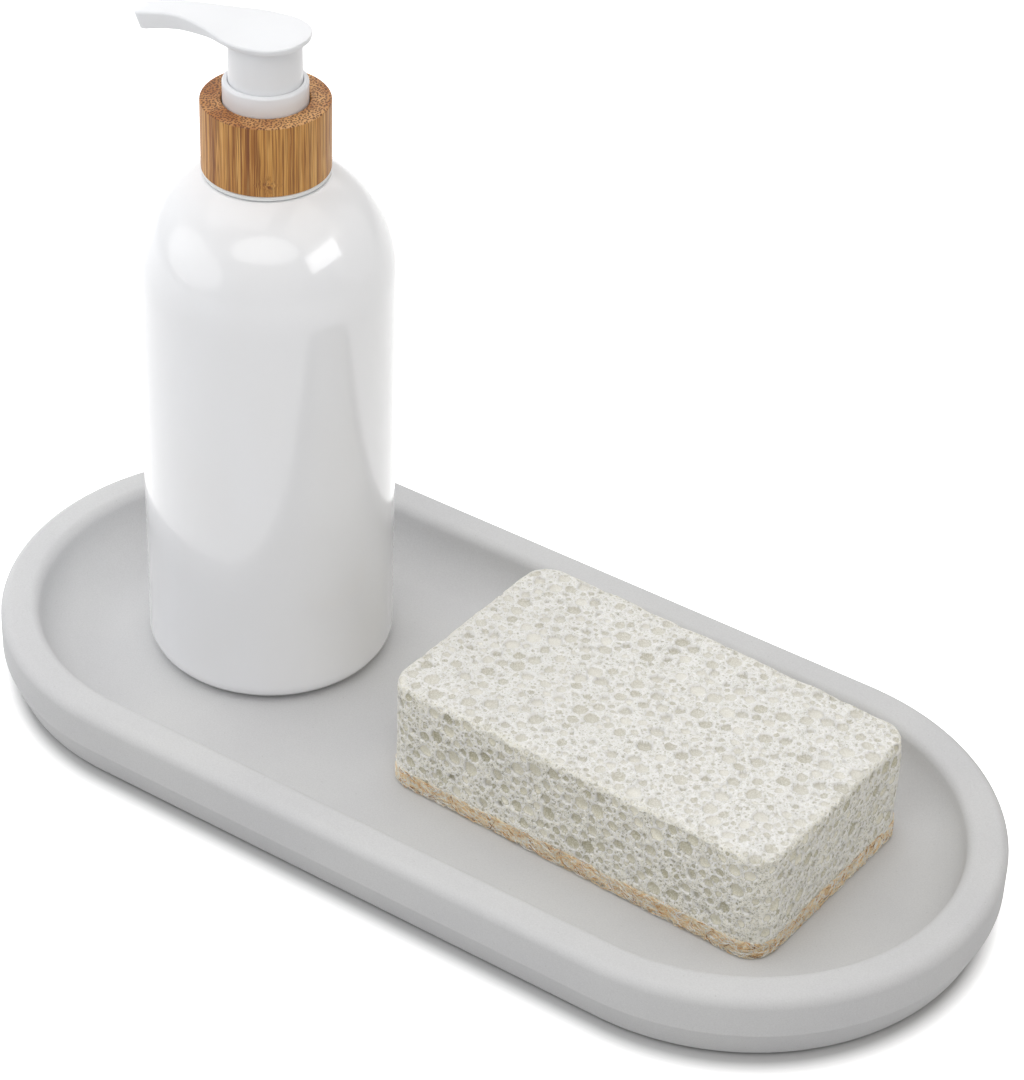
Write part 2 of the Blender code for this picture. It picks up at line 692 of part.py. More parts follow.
def make_stem(plastic, parent):
    top = SKIRT_BOTTOM + SOCKET_LIFT + STEM_SOCKET_DEPTH
    outline = (
        (STEM_BORE, STEM_BOTTOM),
        (STEM_RADIUS, STEM_BOTTOM),
        (STEM_RADIUS, top),
        (STEM_BORE, top),
    )
    stem = place("pump_stem", turned(outline, SMALL_SEGMENTS), plastic, parent)
    port = bmesh.new()
    bmesh.ops.create_cone(
        port,
        cap_ends=True,
        segments=10,
        radius1=STEM_PORT_RADIUS,
        radius2=STEM_PORT_RADIUS,
        depth=2 * (STEM_RADIUS + CUT_OVERRUN),
        matrix=Matrix.Rotation(math.pi / 2, 4, "X"),
    )
    height = STEM_BOTTOM + PLUG_SHANK_LENGTH + STEM_PORT_HEIGHT
    bmesh.ops.translate(port, verts=port.verts, vec=(0, 0, height))
    boolean(stem, cutter("stem_port_cut", port, parent), "DIFFERENCE")


def make_plug(plastic, parent):
    """The plug in the stem's lower end, which the spring pushes up."""
    shank = STEM_BORE - SEAT_GAP
    guide_end = PLUG_LOW_FACE - PLUG_GUIDE_LENGTH
    outline = [Vector((0, guide_end))]
    outline += rounded(
        (
            (PLUG_GUIDE_RADIUS, guide_end, PLUG_GUIDE_ROUND),
            (PLUG_GUIDE_RADIUS, PLUG_LOW_FACE, 0),
            (PLUG_FLANGE_RADIUS, PLUG_LOW_FACE, 0),
            (PLUG_FLANGE_RADIUS, PLUG_TOP, 0),
            (shank, PLUG_TOP, 0),
            (shank, PLUG_TOP + PLUG_SHANK_LENGTH, 0),
            (0, PLUG_TOP + PLUG_SHANK_LENGTH, 0),
            (0, guide_end, 0),
        ),
        steps=2,
    )[:-1]
    place("stem_plug", turned(outline, SMALL_SEGMENTS), plastic, parent)


def head_ring(station):
    """One upright cross-section of the head, as points round its edge."""
    along_share, width_share, top_share, depth_share = station
    along = (HEAD_REAR + SPOUT_REACH) * along_share - HEAD_REAR
    half = HEAD_HALF_WIDTH * width_share
    top = HEAD_TOP + HEAD_SADDLE * top_share
    depth = SPOUT_DEPTH * depth_share
    edge = min(HEAD_EDGE_ROUND, depth / 3, half / 2)
    under = min(HEAD_UNDER_ROUND, depth / 3, half / 3)
    low_half = half * (1 - SPOUT_SIDE_DRAFT_SHARE * depth_share)
    side = rounded(
        (
            (-half, top, edge),
            (-low_half, top - depth, under),
            (low_half, top - depth, under),
            (half, top, edge),
        ),
        steps=2,
    )
    near_tip = max(0.0, (along - SPOUT_REACH + SPOUT_SLANT_LENGTH) / SPOUT_SLANT_LENGTH)
    ring = []
    for across, height in side:
        pulled_back = SPOUT_TIP_SLANT * near_tip**2 * (top - height) / SPOUT_DEPTH
        ring.append((along - pulled_back, across, height))
    return ring


def channel_ring(station):
    """One upright cross-section of the bore that carries soap to the tip."""
    along_share, drop_share, radius_share = station
    reach = SPOUT_REACH + CHANNEL_MOUTH_OVERRUN - CHANNEL_START
    along = CHANNEL_START + reach * along_share
    height = HEAD_TOP - SPOUT_DEPTH * drop_share
    radius = CHANNEL_RADIUS * radius_share
    ring = []
    for step in range(10):
        angle = math.tau * step / 10
        ring.append((along, radius * math.cos(angle), height + radius * math.sin(angle)))
    return ring


def make_head(plastic, parent):
    head = place("pump_head", bridged([head_ring(s) for s in HEAD_STATION_SHARES]), plastic, parent)
    roof = HEAD_TOP - SKIRT_ROOF
    post = (
        (0, SKIRT_BOTTOM),
        (SKIRT_LOW_RADIUS, SKIRT_BOTTOM),
        (SKIRT_TOP_RADIUS, HEAD_TOP - HEAD_EDGE_ROUND),
        (0, HEAD_TOP - HEAD_EDGE_ROUND),
    )
    boolean(head, cutter("head_post", turned(post, PUMP_SEGMENTS), parent), "UNION")
    socket_bore = STEM_RADIUS + SEAT_GAP
    socket_outer = socket_bore + SOCKET_WALL
    hollow = (
        (0, SKIRT_BOTTOM - CUT_OVERRUN),
        (SKIRT_TOP_RADIUS - SKIRT_WALL, SKIRT_BOTTOM - CUT_OVERRUN),
        (SKIRT_TOP_RADIUS - SKIRT_WALL, roof),
        (socket_outer, roof),
        (socket_outer, SKIRT_BOTTOM + SOCKET_LIFT),
        (socket_bore, SKIRT_BOTTOM + SOCKET_LIFT),
        (socket_bore, HEAD_TOP - SOCKET_ROOF),
        (0, HEAD_TOP - SOCKET_ROOF),
    )
    boolean(head, cutter("head_hollow", turned(hollow, PUMP_SEGMENTS), parent), "DIFFERENCE")
    channel = bridged([channel_ring(s) for s in CHANNEL_STATION_SHARES])
    boolean(head, cutter("spout_channel", channel, parent), "DIFFERENCE")


def slab(bottom, thickness, low_round, high_round):
    """The sponge's outline at one thickness, with eased edges."""
    top = bottom + thickness
    corners = (
        (0, bottom, low_round),
        (0, top, high_round),
        (SPONGE_CORNER / 2, top, 0),
        (SPONGE_CORNER / 2, bottom, 0),
    )
    profile = rounded(corners, steps=2)[:-2]
    return stacked(SPONGE_LENGTH / 2, SPONGE_WIDTH / 2, SPONGE_CORNER, profile, SPONGE_CORNER_STEPS)


def make_sponge(foam, fibre, parent):
    place("scour_pad", slab(0, SCOUR_THICKNESS, SCOUR_EDGE_ROUND, 0), fibre, parent)
    foam_bottom = SCOUR_THICKNESS + SEAT_GAP
    place("sponge_foam", slab(foam_bottom, FOAM_THICKNESS, 0, SPONGE_EDGE_ROUND), foam, parent)


def main():
    clear_scene()
    stone = finish("pale_stone", (0.56, 0.56, 0.57), 0.75)
    rubber = finish("clear_rubber", (0.45, 0.45, 0.44), 0.60)
    white = finish("gloss_white", (0.80, 0.80, 0.80), 0.18)
    pump_white = finish("pump_white", (0.84, 0.85, 0.87), 0.30)
    bamboo = finish("bamboo", (0.42, 0.24, 0.10), 0.50)
    natural = finish("natural_plastic", (0.70, 0.72, 0.72), 0.35)
    seal = finish("seal_plastic", (0.62, 0.62, 0.60), 0.50)
    steel = finish("spring_steel", (0.60, 0.60, 0.62), 0.30, metallic=1.0)
    foam = finish("cellulose_foam", (0.76, 0.74, 0.68), 0.90)
    fibre = finish("scour_fibre", (0.62, 0.49, 0.34), 0.90)

    make_tray(stone)
    make_feet(rubber)

    standing = FLOOR_HEIGHT + SEAT_GAP
    bottle_axis = frame_at("bottle_axis", (BOTTLE_X, BOTTLE_Y, standing))
    collar_axis = frame_at("collar_axis", (BOTTLE_X, BOTTLE_Y, standing))
    pump_axis = frame_at("pump_axis", (BOTTLE_X, BOTTLE_Y, standing))
    plunger_axis = frame_at("plunger_axis", (BOTTLE_X, BOTTLE_Y, standing))
    head_axis = frame_at("head_axis", (BOTTLE_X, BOTTLE_Y, standing), HEAD_YAW_DEGREES)
    make_bottle(white, bottle_axis)
    make_collar(bamboo, natural, collar_axis)
    make_gasket(seal, pump_axis)
    make_housing(natural, pump_axis)
    make_guide_ring(pump_white, pump_axis)
    make_ball(steel, pump_axis)
    make_dip_tube(natural, pump_axis)
    make_spring(steel, pump_axis)
    make_piston(seal, plunger_axis)
    make_stem(natural, head_axis)
    make_plug(natural, head_axis)
    make_head(pump_white, head_axis)

    sponge_frame = frame_at("sponge_frame", (SPONGE_X, SPONGE_Y, standing), SPONGE_YAW_DEGREES)
    make_sponge(foam, fibre, sponge_frame)


main()
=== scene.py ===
# The looks of the sink caddy: a stone tray with a pump bottle and a cleaning sponge.
# Lengths are metres, +Z is up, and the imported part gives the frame.
import math

import bmesh
import bpy
import numpy as np
from mathutils import Matrix, Vector, kdtree


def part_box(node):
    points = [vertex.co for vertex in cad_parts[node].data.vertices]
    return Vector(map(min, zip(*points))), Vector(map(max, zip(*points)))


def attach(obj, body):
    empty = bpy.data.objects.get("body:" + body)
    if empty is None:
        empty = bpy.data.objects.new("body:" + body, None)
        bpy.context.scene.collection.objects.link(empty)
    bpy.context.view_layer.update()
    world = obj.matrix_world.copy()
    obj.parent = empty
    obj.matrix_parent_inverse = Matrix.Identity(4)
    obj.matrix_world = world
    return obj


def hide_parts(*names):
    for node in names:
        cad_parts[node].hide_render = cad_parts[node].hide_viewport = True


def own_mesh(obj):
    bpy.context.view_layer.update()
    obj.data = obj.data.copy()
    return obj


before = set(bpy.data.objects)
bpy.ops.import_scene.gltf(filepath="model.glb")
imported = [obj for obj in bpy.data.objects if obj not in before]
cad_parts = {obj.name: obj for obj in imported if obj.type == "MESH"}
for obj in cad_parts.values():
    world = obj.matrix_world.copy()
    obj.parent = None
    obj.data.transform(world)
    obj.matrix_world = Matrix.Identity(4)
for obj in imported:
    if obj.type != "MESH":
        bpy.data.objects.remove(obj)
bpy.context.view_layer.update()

# The gap left between pieces that seat on or run in each other
FIT_GAP = 0.0003

# Tray
TRAY_LOW, TRAY_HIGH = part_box("tray_body")
RIM_WIDTH = 0.0106
RIM_OUTER_ROUND = 0.0030
RIM_INNER_ROUND = 0.0030
BAND_LOW_EDGE = 0.0103
BAND_EDGE_ROUND = 0.0007
BASE_INSET = 0.0039
BASE_EDGE_ROUND = 0.0012
FLOOR_HEIGHT = 0.0070
BASIN_WALL_LEAN = 0.0014
BASIN_FILLET = 0.0115
TRAY_CREASE_DEGREES = 30.0
FOOT_NODES = ("tray_foot_1", "tray_foot_2", "tray_foot_3", "tray_foot_4")
FOOT_ROUND = 0.0004
FOOT_RING_RADIUS = 0.0040

# Bottle
BOTTLE_LOW, BOTTLE_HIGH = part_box("bottle_shell")
BOTTLE_RADIUS = (BOTTLE_HIGH.x - BOTTLE_LOW.x) / 2
AXIS_X = (BOTTLE_HIGH.x + BOTTLE_LOW.x) / 2
AXIS_Y = (BOTTLE_HIGH.y + BOTTLE_LOW.y) / 2
NECK_TOP = BOTTLE_HIGH.z
BOTTLE_WALL = 0.0011
BOTTLE_BASE_THICKNESS = 0.0013
BOTTLE_FOOT_ROUND = 0.0060
BOTTLE_PUSH_UP = 0.0025
BOTTLE_STANDING_RING = 0.0067
BOTTLE_RING_ROUND = 0.0010
SHOULDER_CENTRE = BOTTLE_LOW.z + 0.1189
LEDGE_RADIUS = 0.0170
LEDGE = SHOULDER_CENTRE + math.sqrt(BOTTLE_RADIUS**2 - LEDGE_RADIUS**2)
LEDGE_EASING = 0.0008
NECK_RADIUS = 0.01095
NECK_BORE = 0.0096
NECK_FILLET = 0.0012
NECK_LIP_ROUND = 0.0003

# Neck thread and collar thread
THREAD_PITCH = 0.003175
THREAD_DEPTH = 0.00095
THREAD_ROOT_WIDTH = 0.0017
THREAD_CREST_WIDTH = 0.0007
THREAD_TURNS = 1.5
THREAD_LEAD_IN_TURNS = 0.12
THREAD_START_ABOVE_LEDGE = 0.0030
THREAD_STEPS_PER_PITCH = 14
THREAD_TOUCH = 0.00003
COLLAR_THREAD_DEPTH = 0.0011

# Collar and its liner
SLEEVE_LOW, SLEEVE_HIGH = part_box("bamboo_collar")
SLEEVE_RADIUS = (SLEEVE_HIGH.x - SLEEVE_LOW.x) / 2
SLEEVE_HOLE = 0.01145
SLEEVE_OUTER_ROUND = 0.0005
SLEEVE_HOLE_ROUND = 0.0004
SLEEVE_CREASE_DEGREES = 50.0
LINER_LOW, LINER_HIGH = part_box("thread_insert")
LINER_RADIUS = (LINER_HIGH.x - LINER_LOW.x) / 2
LINER_BORE = 0.0125
LINER_WALL = 0.0013
LINER_FLANGE = 0.00125
LINER_ROUND = 0.0003
LINER_WEB = 0.0013
SLEEVE_BORE = LINER_BORE + LINER_WALL + FIT_GAP

# Guide ring
GUIDE_LOW, GUIDE_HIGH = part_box("guide_ring")
GUIDE_RADIUS = 0.0111
GUIDE_WALL = 0.00137
GUIDE_BASE = 0.0010
GUIDE_LIP_RADIUS = (GUIDE_HIGH.x - GUIDE_LOW.x) / 2
GUIDE_LIP = 0.0010
GUIDE_OUTER_ROUND = 0.0008
GUIDE_INNER_ROUND = 0.0002
GUIDE_PLUG_LENGTH = 0.0061
GUIDE_PLUG_RADIUS = 0.0063
STEM_HOLE = 0.0035

# Return spring: its end turns lie flat
SPRING_LOW, SPRING_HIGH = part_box("return_spring")
SPRING_WIRE_RADIUS = 0.00045
SPRING_TURNS = 7
SPRING_END_TURNS = 0.6

# Pump head
HEAD_LOW, HEAD_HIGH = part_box("pump_head")
HEAD_YAW = math.radians(191.0)
HEAD_REAR = 0.0120
SPOUT_REACH = 0.0363
HEAD_HALF_WIDTH = 0.0109
HEAD_SADDLE = 0.0012
HEAD_TOP = HEAD_HIGH.z - HEAD_SADDLE
SPOUT_DEPTH = 0.0051
SPOUT_TIP_SLANT = 0.0021
SPOUT_SLANT_LENGTH = 0.0100
HEAD_EDGE_ROUND = 0.0007
HEAD_UNDER_ROUND = 0.0005
SPOUT_SIDE_DRAFT_SHARE = 0.10
SKIRT_BOTTOM = HEAD_LOW.z
SKIRT_TOP_RADIUS = 0.0095
SKIRT_LOW_RADIUS = 0.0096
SKIRT_WALL = 0.0009
SKIRT_ROOF = 0.0026
SOCKET_BORE = 0.0035
SOCKET_WALL = 0.0014
SOCKET_LIFT = 0.0020
SOCKET_ROOF = 0.0018
CHANNEL_RADIUS = 0.0015
CHANNEL_START = 0.0015
CHANNEL_OVERRUN = 0.0020
CUT_OVERRUN = 0.0010
HEAD_CREASE_DEGREES = 34.0

# Sponge foam: its skin, the bubbles that the skin cuts, and the crumbs between them
SCOUR_LOW, SCOUR_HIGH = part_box("scour_pad")
FOAM_LOW, FOAM_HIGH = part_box("sponge_foam")
SPONGE_X = (FOAM_LOW.x + FOAM_HIGH.x) / 2
SPONGE_Y = (FOAM_LOW.y + FOAM_HIGH.y) / 2
SPONGE_YAW = math.radians(-2.0)
SPONGE_HALF = (0.0600, 0.0350)
SPONGE_CORNER = 0.0080
SPONGE_EDGE_ROUND = 0.0018
FOAM_STEP = 0.00036
FOAM_SINK = 0.0004
FOAM_SWELL = 0.00020
FOAM_SWELL_LENGTHS = (0.016, 0.004)
SWELL_SPREAD = (0.6, 1.7)
BUBBLE_RADIUS = 0.00060
BUBBLE_SPREAD = 0.50
BUBBLE_LEAST = 0.00042
BUBBLE_MOST = 0.0023
BUBBLE_EDGE_MOST = 0.0009
BUBBLE_TRIES = 260000
BUBBLE_ROOM = 0.97
BUBBLE_OUTSIDE_SHARE = 0.7
BUBBLE_DEPTH_SHARE = 0.62
BUBBLE_WARP = 0.00012
BUBBLE_WARP_LENGTH = 0.0022
SEAM_MARGIN = 0.0003
RIM_SNAP = 0.00018
PORE_FADE = 0.00022
CRUMB_DEPTH = 0.00022
CRUMB_SHARE = 0.38

# Pores that are only painted, each a disc whose floor is partly the foam's greyer tone and partly
# painted shade, with a painted highlight on its lip: scale, share of cells that have one, weight,
# and extra darkness
PAINTED_PORES = ((560.0, 0.84, 0.90, 0), (1150.0, 0.88, 0.85, 8))
PAINTED_PORE_BEND = 0.0004

# Scouring layer: a felted core and two groups of strands. A strand bows about its middle,
# stands proud by an amount between two values, and dips back towards its ends
SCOUR_SWELL = 0.00018
SCOUR_SWELL_LENGTH = 0.0012
CORE_SHADE = 0.42
STRAND_RADII = (0.00005, 0.00013)
STRAND_SHADE_BETA = (2.2, 1.8)
STRAND_END_ANGLE = 0.22
STRAND_BOW_MIDDLE = 0.08
SIDE_STRANDS = 5200
SIDE_STRAND_LENGTHS = (0.0012, 0.0060)
SIDE_STRAND_LEAN = 0.75
SIDE_STRAND_BOW = 0.45
SIDE_STRAND_PROUD = (-0.00005, 0.00030)
SIDE_STRAND_DIP = 0.0016
UNDER_STRANDS = 2600
UNDER_STRAND_LENGTHS = (0.0040, 0.0110)
UNDER_STRAND_BOW = 0.4
UNDER_STRAND_PROUD = (0.00004, 0.00016)
UNDER_STRAND_DIP = 0.0012
SEAM_REACH = 0.0006

# Seeds of the random draws
BUBBLE_SEED = 23
BUBBLE_SHADE_SEED = 31
BUBBLE_WARP_SEEDS = (11, 12, 13)
CRUMB_SEED = 5
FOAM_SWELL_SEEDS = (3, 4)
SCOUR_SWELL_SEED = 8
STRAND_SEED = 17

# How finely curves are divided
TRAY_CORNER_STEPS = 48
BOTTLE_SEGMENTS = 144
COLLAR_SEGMENTS = 120
PUMP_SEGMENTS = 96
FOOT_SEGMENTS = 64
SPRING_STEPS_PER_TURN = 40
SPRING_WIRE_SIDES = 12
SHOULDER_STEPS = 36
HEAD_RINGS_PER_STATION = 6
CHANNEL_SIDES = 32
ROUND_STEPS = 10
TRAY_ROUND_STEPS = 12
RING_ROUND_STEPS = 5
GUIDE_ROUND_STEPS = 6
HEAD_ROUND_STEPS = 6
INNER_ROUND_STEPS = 4
SWELL_WAVES = 12
SCOUR_ROWS = 12
SCOUR_CORNER_STEPS = 16
SCOUR_LONG_EDGE = 0.003
SCOUR_EDGE_CUTS = 40
TRACK_CORNER_STEPS = 24
STRAND_STEPS = 4
STRAND_SIDES = 3

# The angle past which an edge is shaded sharp, and the distance within which points merge
CREASE_DEGREES = 38.0
MERGE_DISTANCE = 0.000003

# Amounts too small to see: a share that keeps points inside their outline, and a least divisor
TRACK_DRAW_IN = 0.000001
NEVER_ZERO = 1e-12

# Camera: its distance from the point it looks at, and its angles in degrees
CAMERA_TARGET = Vector((-0.03004, 0.05519, 0.0300))
CAMERA_DISTANCE = 0.96688
CAMERA_AZIMUTH = 33.327
CAMERA_ELEVATION = 35.750
CAMERA_ROLL = 2.25
CAMERA_LENS_MM = 113.86
CAMERA_CLIP = (0.01, 20.0)
FILM_LONG_SIDE_MM = 36.0

# Bamboo marks, placed on the collar by angle and height, with their reach or half width
BAMBOO_NODE_ANGLE = math.radians(-50.0)
BAMBOO_NODE_HEIGHT = 0.0035
BAMBOO_NODE_REACH = (0.0042, 0.0034)
BAMBOO_NODE_SWIRL = 0.0034
BAMBOO_WANDER = 0.0006
BAMBOO_VEIN_ANGLE = math.radians(-67.0)
BAMBOO_VEIN_WIDTHS = (0.00010, 0.00042)
BAMBOO_VEIN_LOW = 0.0040
BAMBOO_BUNDLES_SCALE = 1350.0
BAMBOO_END_GRAIN_DEPTHS = (0.0005, 0.0002)

# Table and sky: the painted shadow by the tray, where the table holds back its glow, reaches from
# the first to the second distance
TABLE_HALF = 4.0
TABLE_TONE = 0.62
TABLE_GLOW = 1.0
TABLE_SHADE_REACH = (-0.0058, 0.0020)
TABLE_SHADE_SHIFT = (0.0020, -0.0035)
SKY_STRENGTH = 0.28

# Watts for each square metre of a lamp whose face is as bright as white
LAMP_WATTS = 4.0

# Lamps: azimuth, elevation, distance, width and height, brightness, tint, shown in gloss
PLAIN, COOL, WARM = (1.0, 1.0, 1.0), (0.97, 0.985, 1.0), (1.0, 0.94, 0.84)
SOFT_BOXES = {
    "top_light": (190, 72, 1.7, (1.6, 1.6), 0.60, PLAIN, True),
    "left_light": (172, 22, 1.6, (1.6, 1.0), 1.58, COOL, False),
    "left_front_light": (-142, 26, 1.7, (1.1, 0.9), 0.78, COOL, False),
    "front_light": (-70, 63, 1.8, (1.2, 1.2), 1.54, PLAIN, False),
    "low_light": (-42, 14, 1.8, (1.4, 0.8), 0.95, PLAIN, False),
    "right_light": (20, 52, 1.7, (1.2, 1.2), 0.62, WARM, True),
    "back_light": (112, 45, 1.7, (1.4, 1.2), 0.58, PLAIN, True),
}

# Lamps that show only as highlights: azimuth, elevation, width and height, brightness, and
# how many smaller lamps lie in one another, each ellipse inside the last, for a soft edge
GLOSS_CARD_DISTANCE = 1.2
GLOSS_CARD_EDGE_SHARE = 0.45
GLOSS_CARDS = {
    "left_card": (-127, 16, (1.55, 0.72), 3.7, 5),
    "front_card": (-55, 47, (1.35, 0.52), 4.2, 4),
    "right_card": (42, 16, (1.4, 1.0), 2.6, 8),
    "window_card": (8, 28, (0.70, 0.32), 3.4, 1),
}

# Head stations from rear to tip: place along the head, half width, top
# above the middle of the disc, depth of the section
HEAD_STATION_SHARES = (
    (0.000, 0.10, 0.40, 0.25),
    (0.016, 0.37, 0.35, 0.30),
    (0.055, 0.67, 0.22, 0.33),
    (0.117, 0.88, 0.08, 0.33),
    (0.183, 0.98, 0.02, 0.33),
    (0.249, 1.00, 0.00, 0.33),
    (0.316, 0.99, 0.04, 0.33),
    (0.382, 0.93, 0.18, 0.34),
    (0.448, 0.81, 0.42, 0.40),
    (0.514, 0.68, 0.70, 0.52),
    (0.603, 0.55, 0.92, 0.69),
    (0.691, 0.45, 1.00, 0.83),
    (0.779, 0.41, 0.75, 0.92),
    (0.868, 0.385, 0.05, 0.96),
    (0.934, 0.365, -0.60, 0.96),
    (0.976, 0.32, -1.15, 0.90),
    (1.000, 0.20, -1.75, 0.78),
)

# Spout channel: place along the spout, depth under the head's top, radius
CHANNEL_STATION_SHARES = (
    (0.00, 0.34, 0.50),
    (0.20, 0.19, 0.47),
    (0.27, 0.12, 0.45),
    (0.38, 0.09, 0.53),
    (0.54, 0.17, 0.75),
    (0.71, 0.35, 1.00),
    (0.85, 0.56, 1.00),
    (1.00, 0.80, 1.00),
)


# Finishes

def tone(red, green, blue):
    """A colour given as it looks on a screen, 0 to 255, as the shader's linear values."""
    def linear(value):
        share = value / 255
        return share / 12.92 if share <= 0.04045 else ((share + 0.055) / 1.055) ** 2.4

    return (linear(red), linear(green), linear(blue), 1.0)


def maths(operation, reflected=False):
    """An operator of a Signal: it adds a Math node, with self last where it is reflected."""
    def method(self, *others):
        values = (*others, self) if reflected else (self, *others)
        return self.nodes.node("ShaderNodeMath", {"operation": operation}, dict(enumerate(values)))

    return method


class Signal:
    """A socket that gives a value. Python arithmetic on it adds Math nodes."""

    def __init__(self, nodes, socket):
        self.nodes = nodes
        self.socket = socket

    __add__, __radd__ = maths("ADD"), maths("ADD", reflected=True)
    __sub__, __rsub__ = maths("SUBTRACT"), maths("SUBTRACT", reflected=True)
    __mul__, __rmul__ = maths("MULTIPLY"), maths("MULTIPLY", reflected=True)
    __truediv__, __pow__, __abs__ = maths("DIVIDE"), maths("POWER"), maths("ABSOLUTE")


class Nodes:
    """A node tree, and the one method that adds nodes to it."""

    def __init__(self, tree):
        self.tree = tree

    def node(self, kind, settings=None, sockets=None, output=0):
        """Adds a node: its settings first, then the values or links of its sockets."""
        made = self.tree.nodes.new(kind)
        for name, value in (settings or {}).items():
            if name == "stops":
                self._set_stops(made.color_ramp, value)
            else:
                setattr(made, name, value)
        for name, value in (sockets or {}).items():
            if isinstance(value, Signal):
                self.tree.links.new(value.socket, made.inputs[name])
            else:
                made.inputs[name].default_value = value
        return Signal(self, made.outputs[output])

    @staticmethod
    def _set_stops(ramp, stops):
        while len(ramp.elements) < len(stops):
            ramp.elements.new(1.0)
        for element, (position, colour) in zip(ramp.elements, stops):
            element.position = position
            element.color = colour

    def outputs_of(self, signal, names):
        """Other outputs of the node that gives a signal."""
        return [Signal(self, signal.socket.node.outputs[name]) for name in names]


class Finish(Nodes):
    """A procedural material: one Principled shader and the nodes that feed it."""

    def __init__(self, name, **values):
        self.material = bpy.data.materials.new(name)
        self.material.use_nodes = True
        super().__init__(self.material.node_tree)
        self.shader = self.tree.nodes["Principled BSDF"]
        for socket, value in values.items():
            self.shader.inputs[socket.replace("_", " ")].default_value = value

    def feed(self, socket, value):
        """Links a value to a socket of the shader."""
        self.tree.links.new(value.socket, self.shader.inputs[socket])

    def place(self):
        """Where a point is on its piece, in metres from the piece's own origin."""
        return self.node("ShaderNodeTexCoord", output="Object")

    def parts_of(self, place):
        return self.outputs_of(self.node("ShaderNodeSeparateXYZ", sockets={0: place}), range(3))

    def point(self, x, y, z):
        return self.node("ShaderNodeCombineXYZ", sockets={0: x, 1: y, 2: z})

    def stretched(self, place, factors):
        settings = {"operation": "MULTIPLY"}
        return self.node("ShaderNodeVectorMath", settings, {0: place, 1: factors})

    def noise(self, place, scale, detail=2.0, roughness=0.5, distortion=0.0):
        sockets = {
            "Vector": place,
            "Scale": scale,
            "Detail": detail,
            "Roughness": roughness,
            "Distortion": distortion,
        }
        return self.node("ShaderNodeTexNoise", sockets=sockets)

    def cells(self, place, scale):
        """How far each point is from the middle of its cell."""
        return self.node("ShaderNodeTexVoronoi", sockets={"Vector": place, "Scale": scale})

    def between(self, value, low, high, start=0.0, end=1.0):
        """The value brought from the range low to high into start to end, and held there."""
        limits = {"From Min": low, "From Max": high, "To Min": start, "To Max": end}
        return self.node("ShaderNodeMapRange", sockets={"Value": value, **limits})

    def mix(self, share, first, second):
        settings = {"data_type": "RGBA", "clamp_factor": True}
        return self.node("ShaderNodeMix", settings, {0: share, 6: first, 7: second}, output=2)

    def layered(self, colour, *marks):
        """A colour with marks laid over it in turn, each given as its share and its colour."""
        for share, mark in marks:
            colour = self.mix(share, colour, mark)
        return colour

    def ramp(self, value, stops):
        return self.node("ShaderNodeValToRGB", {"stops": stops}, {0: value})

    def painted(self, name):
        """A value stored on the mesh's points."""
        return self.node("ShaderNodeAttribute", {"attribute_name": name}, output="Fac")

    def bump(self, height, distance, strength=1.0):
        sockets = {"Height": height, "Distance": distance, "Strength": strength}
        return self.node("ShaderNodeBump", sockets=sockets)


def cloudy(finish, cloud, dark, light, roughness, relief, depth):
    """A finish of two tones that a cloud mixes. The cloud also moves the roughness."""
    low, rise = roughness
    finish.feed("Base Color", finish.mix(cloud, dark, light))
    finish.feed("Roughness", low + rise * cloud)
    finish.feed("Normal", finish.bump(relief, depth, 0.5))
    return finish.material


def pale_stone():
    """Cast mineral stone: matt, faintly cloudy, with a fine sandy tooth and pinholes."""
    stone = Finish("pale_stone", Specular_IOR_Level=0.32)
    place = stone.place()
    cloud = stone.noise(place, 26.0, detail=4.0)
    sand = stone.noise(place, 2600.0, detail=2.0)
    tooth = stone.noise(place, 700.0, detail=3.0)
    pinholes = stone.between(stone.cells(place, 260.0), 0.035, 0.075)
    colour = stone.layered(
        stone.mix(stone.between(cloud, 0.35, 0.65), tone(205, 205, 206), tone(210, 210, 210)),
        (stone.between(sand, 0.50, 0.74, 0.0, 0.16), tone(172, 171, 169)),
        (stone.between(sand, 0.46, 0.28, 0.0, 0.18), tone(228, 228, 228)),
        (stone.between(pinholes, 0.0, 1.0, 0.22, 0.0), tone(158, 157, 155)),
    )
    stone.feed("Base Color", colour)
    stone.feed("Roughness", 0.62 + 0.22 * tooth)
    relief = 0.55 * tooth + 0.35 * sand + 0.4 * pinholes
    stone.feed("Normal", stone.bump(relief, 0.00006, 0.5))
    return stone.material


def clear_rubber():
    """Milky silicone: soft sheen, fine mould texture and a little dust."""
    rubber = Finish("clear_rubber", Specular_IOR_Level=0.45)
    place = rubber.place()
    dust = rubber.noise(place, 900.0, detail=4.0)
    tooth = rubber.noise(place, 5200.0)
    dark, light = tone(196, 196, 192), tone(216, 216, 213)
    return cloudy(rubber, dust, dark, light, (0.42, 0.30), tooth, 0.00003)


def gloss_white():
    """Blown bottle plastic: deep gloss, a slow ripple from the mould and faint handling marks."""
    gloss = Finish("gloss_white", Coat_Weight=0.35, Coat_Roughness=0.05)
    place = gloss.place()
    ripple = gloss.noise(gloss.stretched(place, (1.0, 1.0, 0.45)), 52.0, detail=1.0)
    skin = gloss.noise(place, 1400.0, detail=2.0)
    marks = gloss.noise(gloss.stretched(place, (1.0, 1.0, 5.0)), 60.0, detail=5.0, roughness=0.65)
    gloss.feed("Base Color", gloss.mix(ripple, tone(245, 246, 249), tone(242, 242, 243)))
    gloss.feed("Roughness", gloss.between(marks, 0.40, 0.75, 0.11, 0.20))
    gloss.feed("Normal", gloss.bump(ripple + 0.02 * skin, 0.00035, 0.55))
    return gloss.material


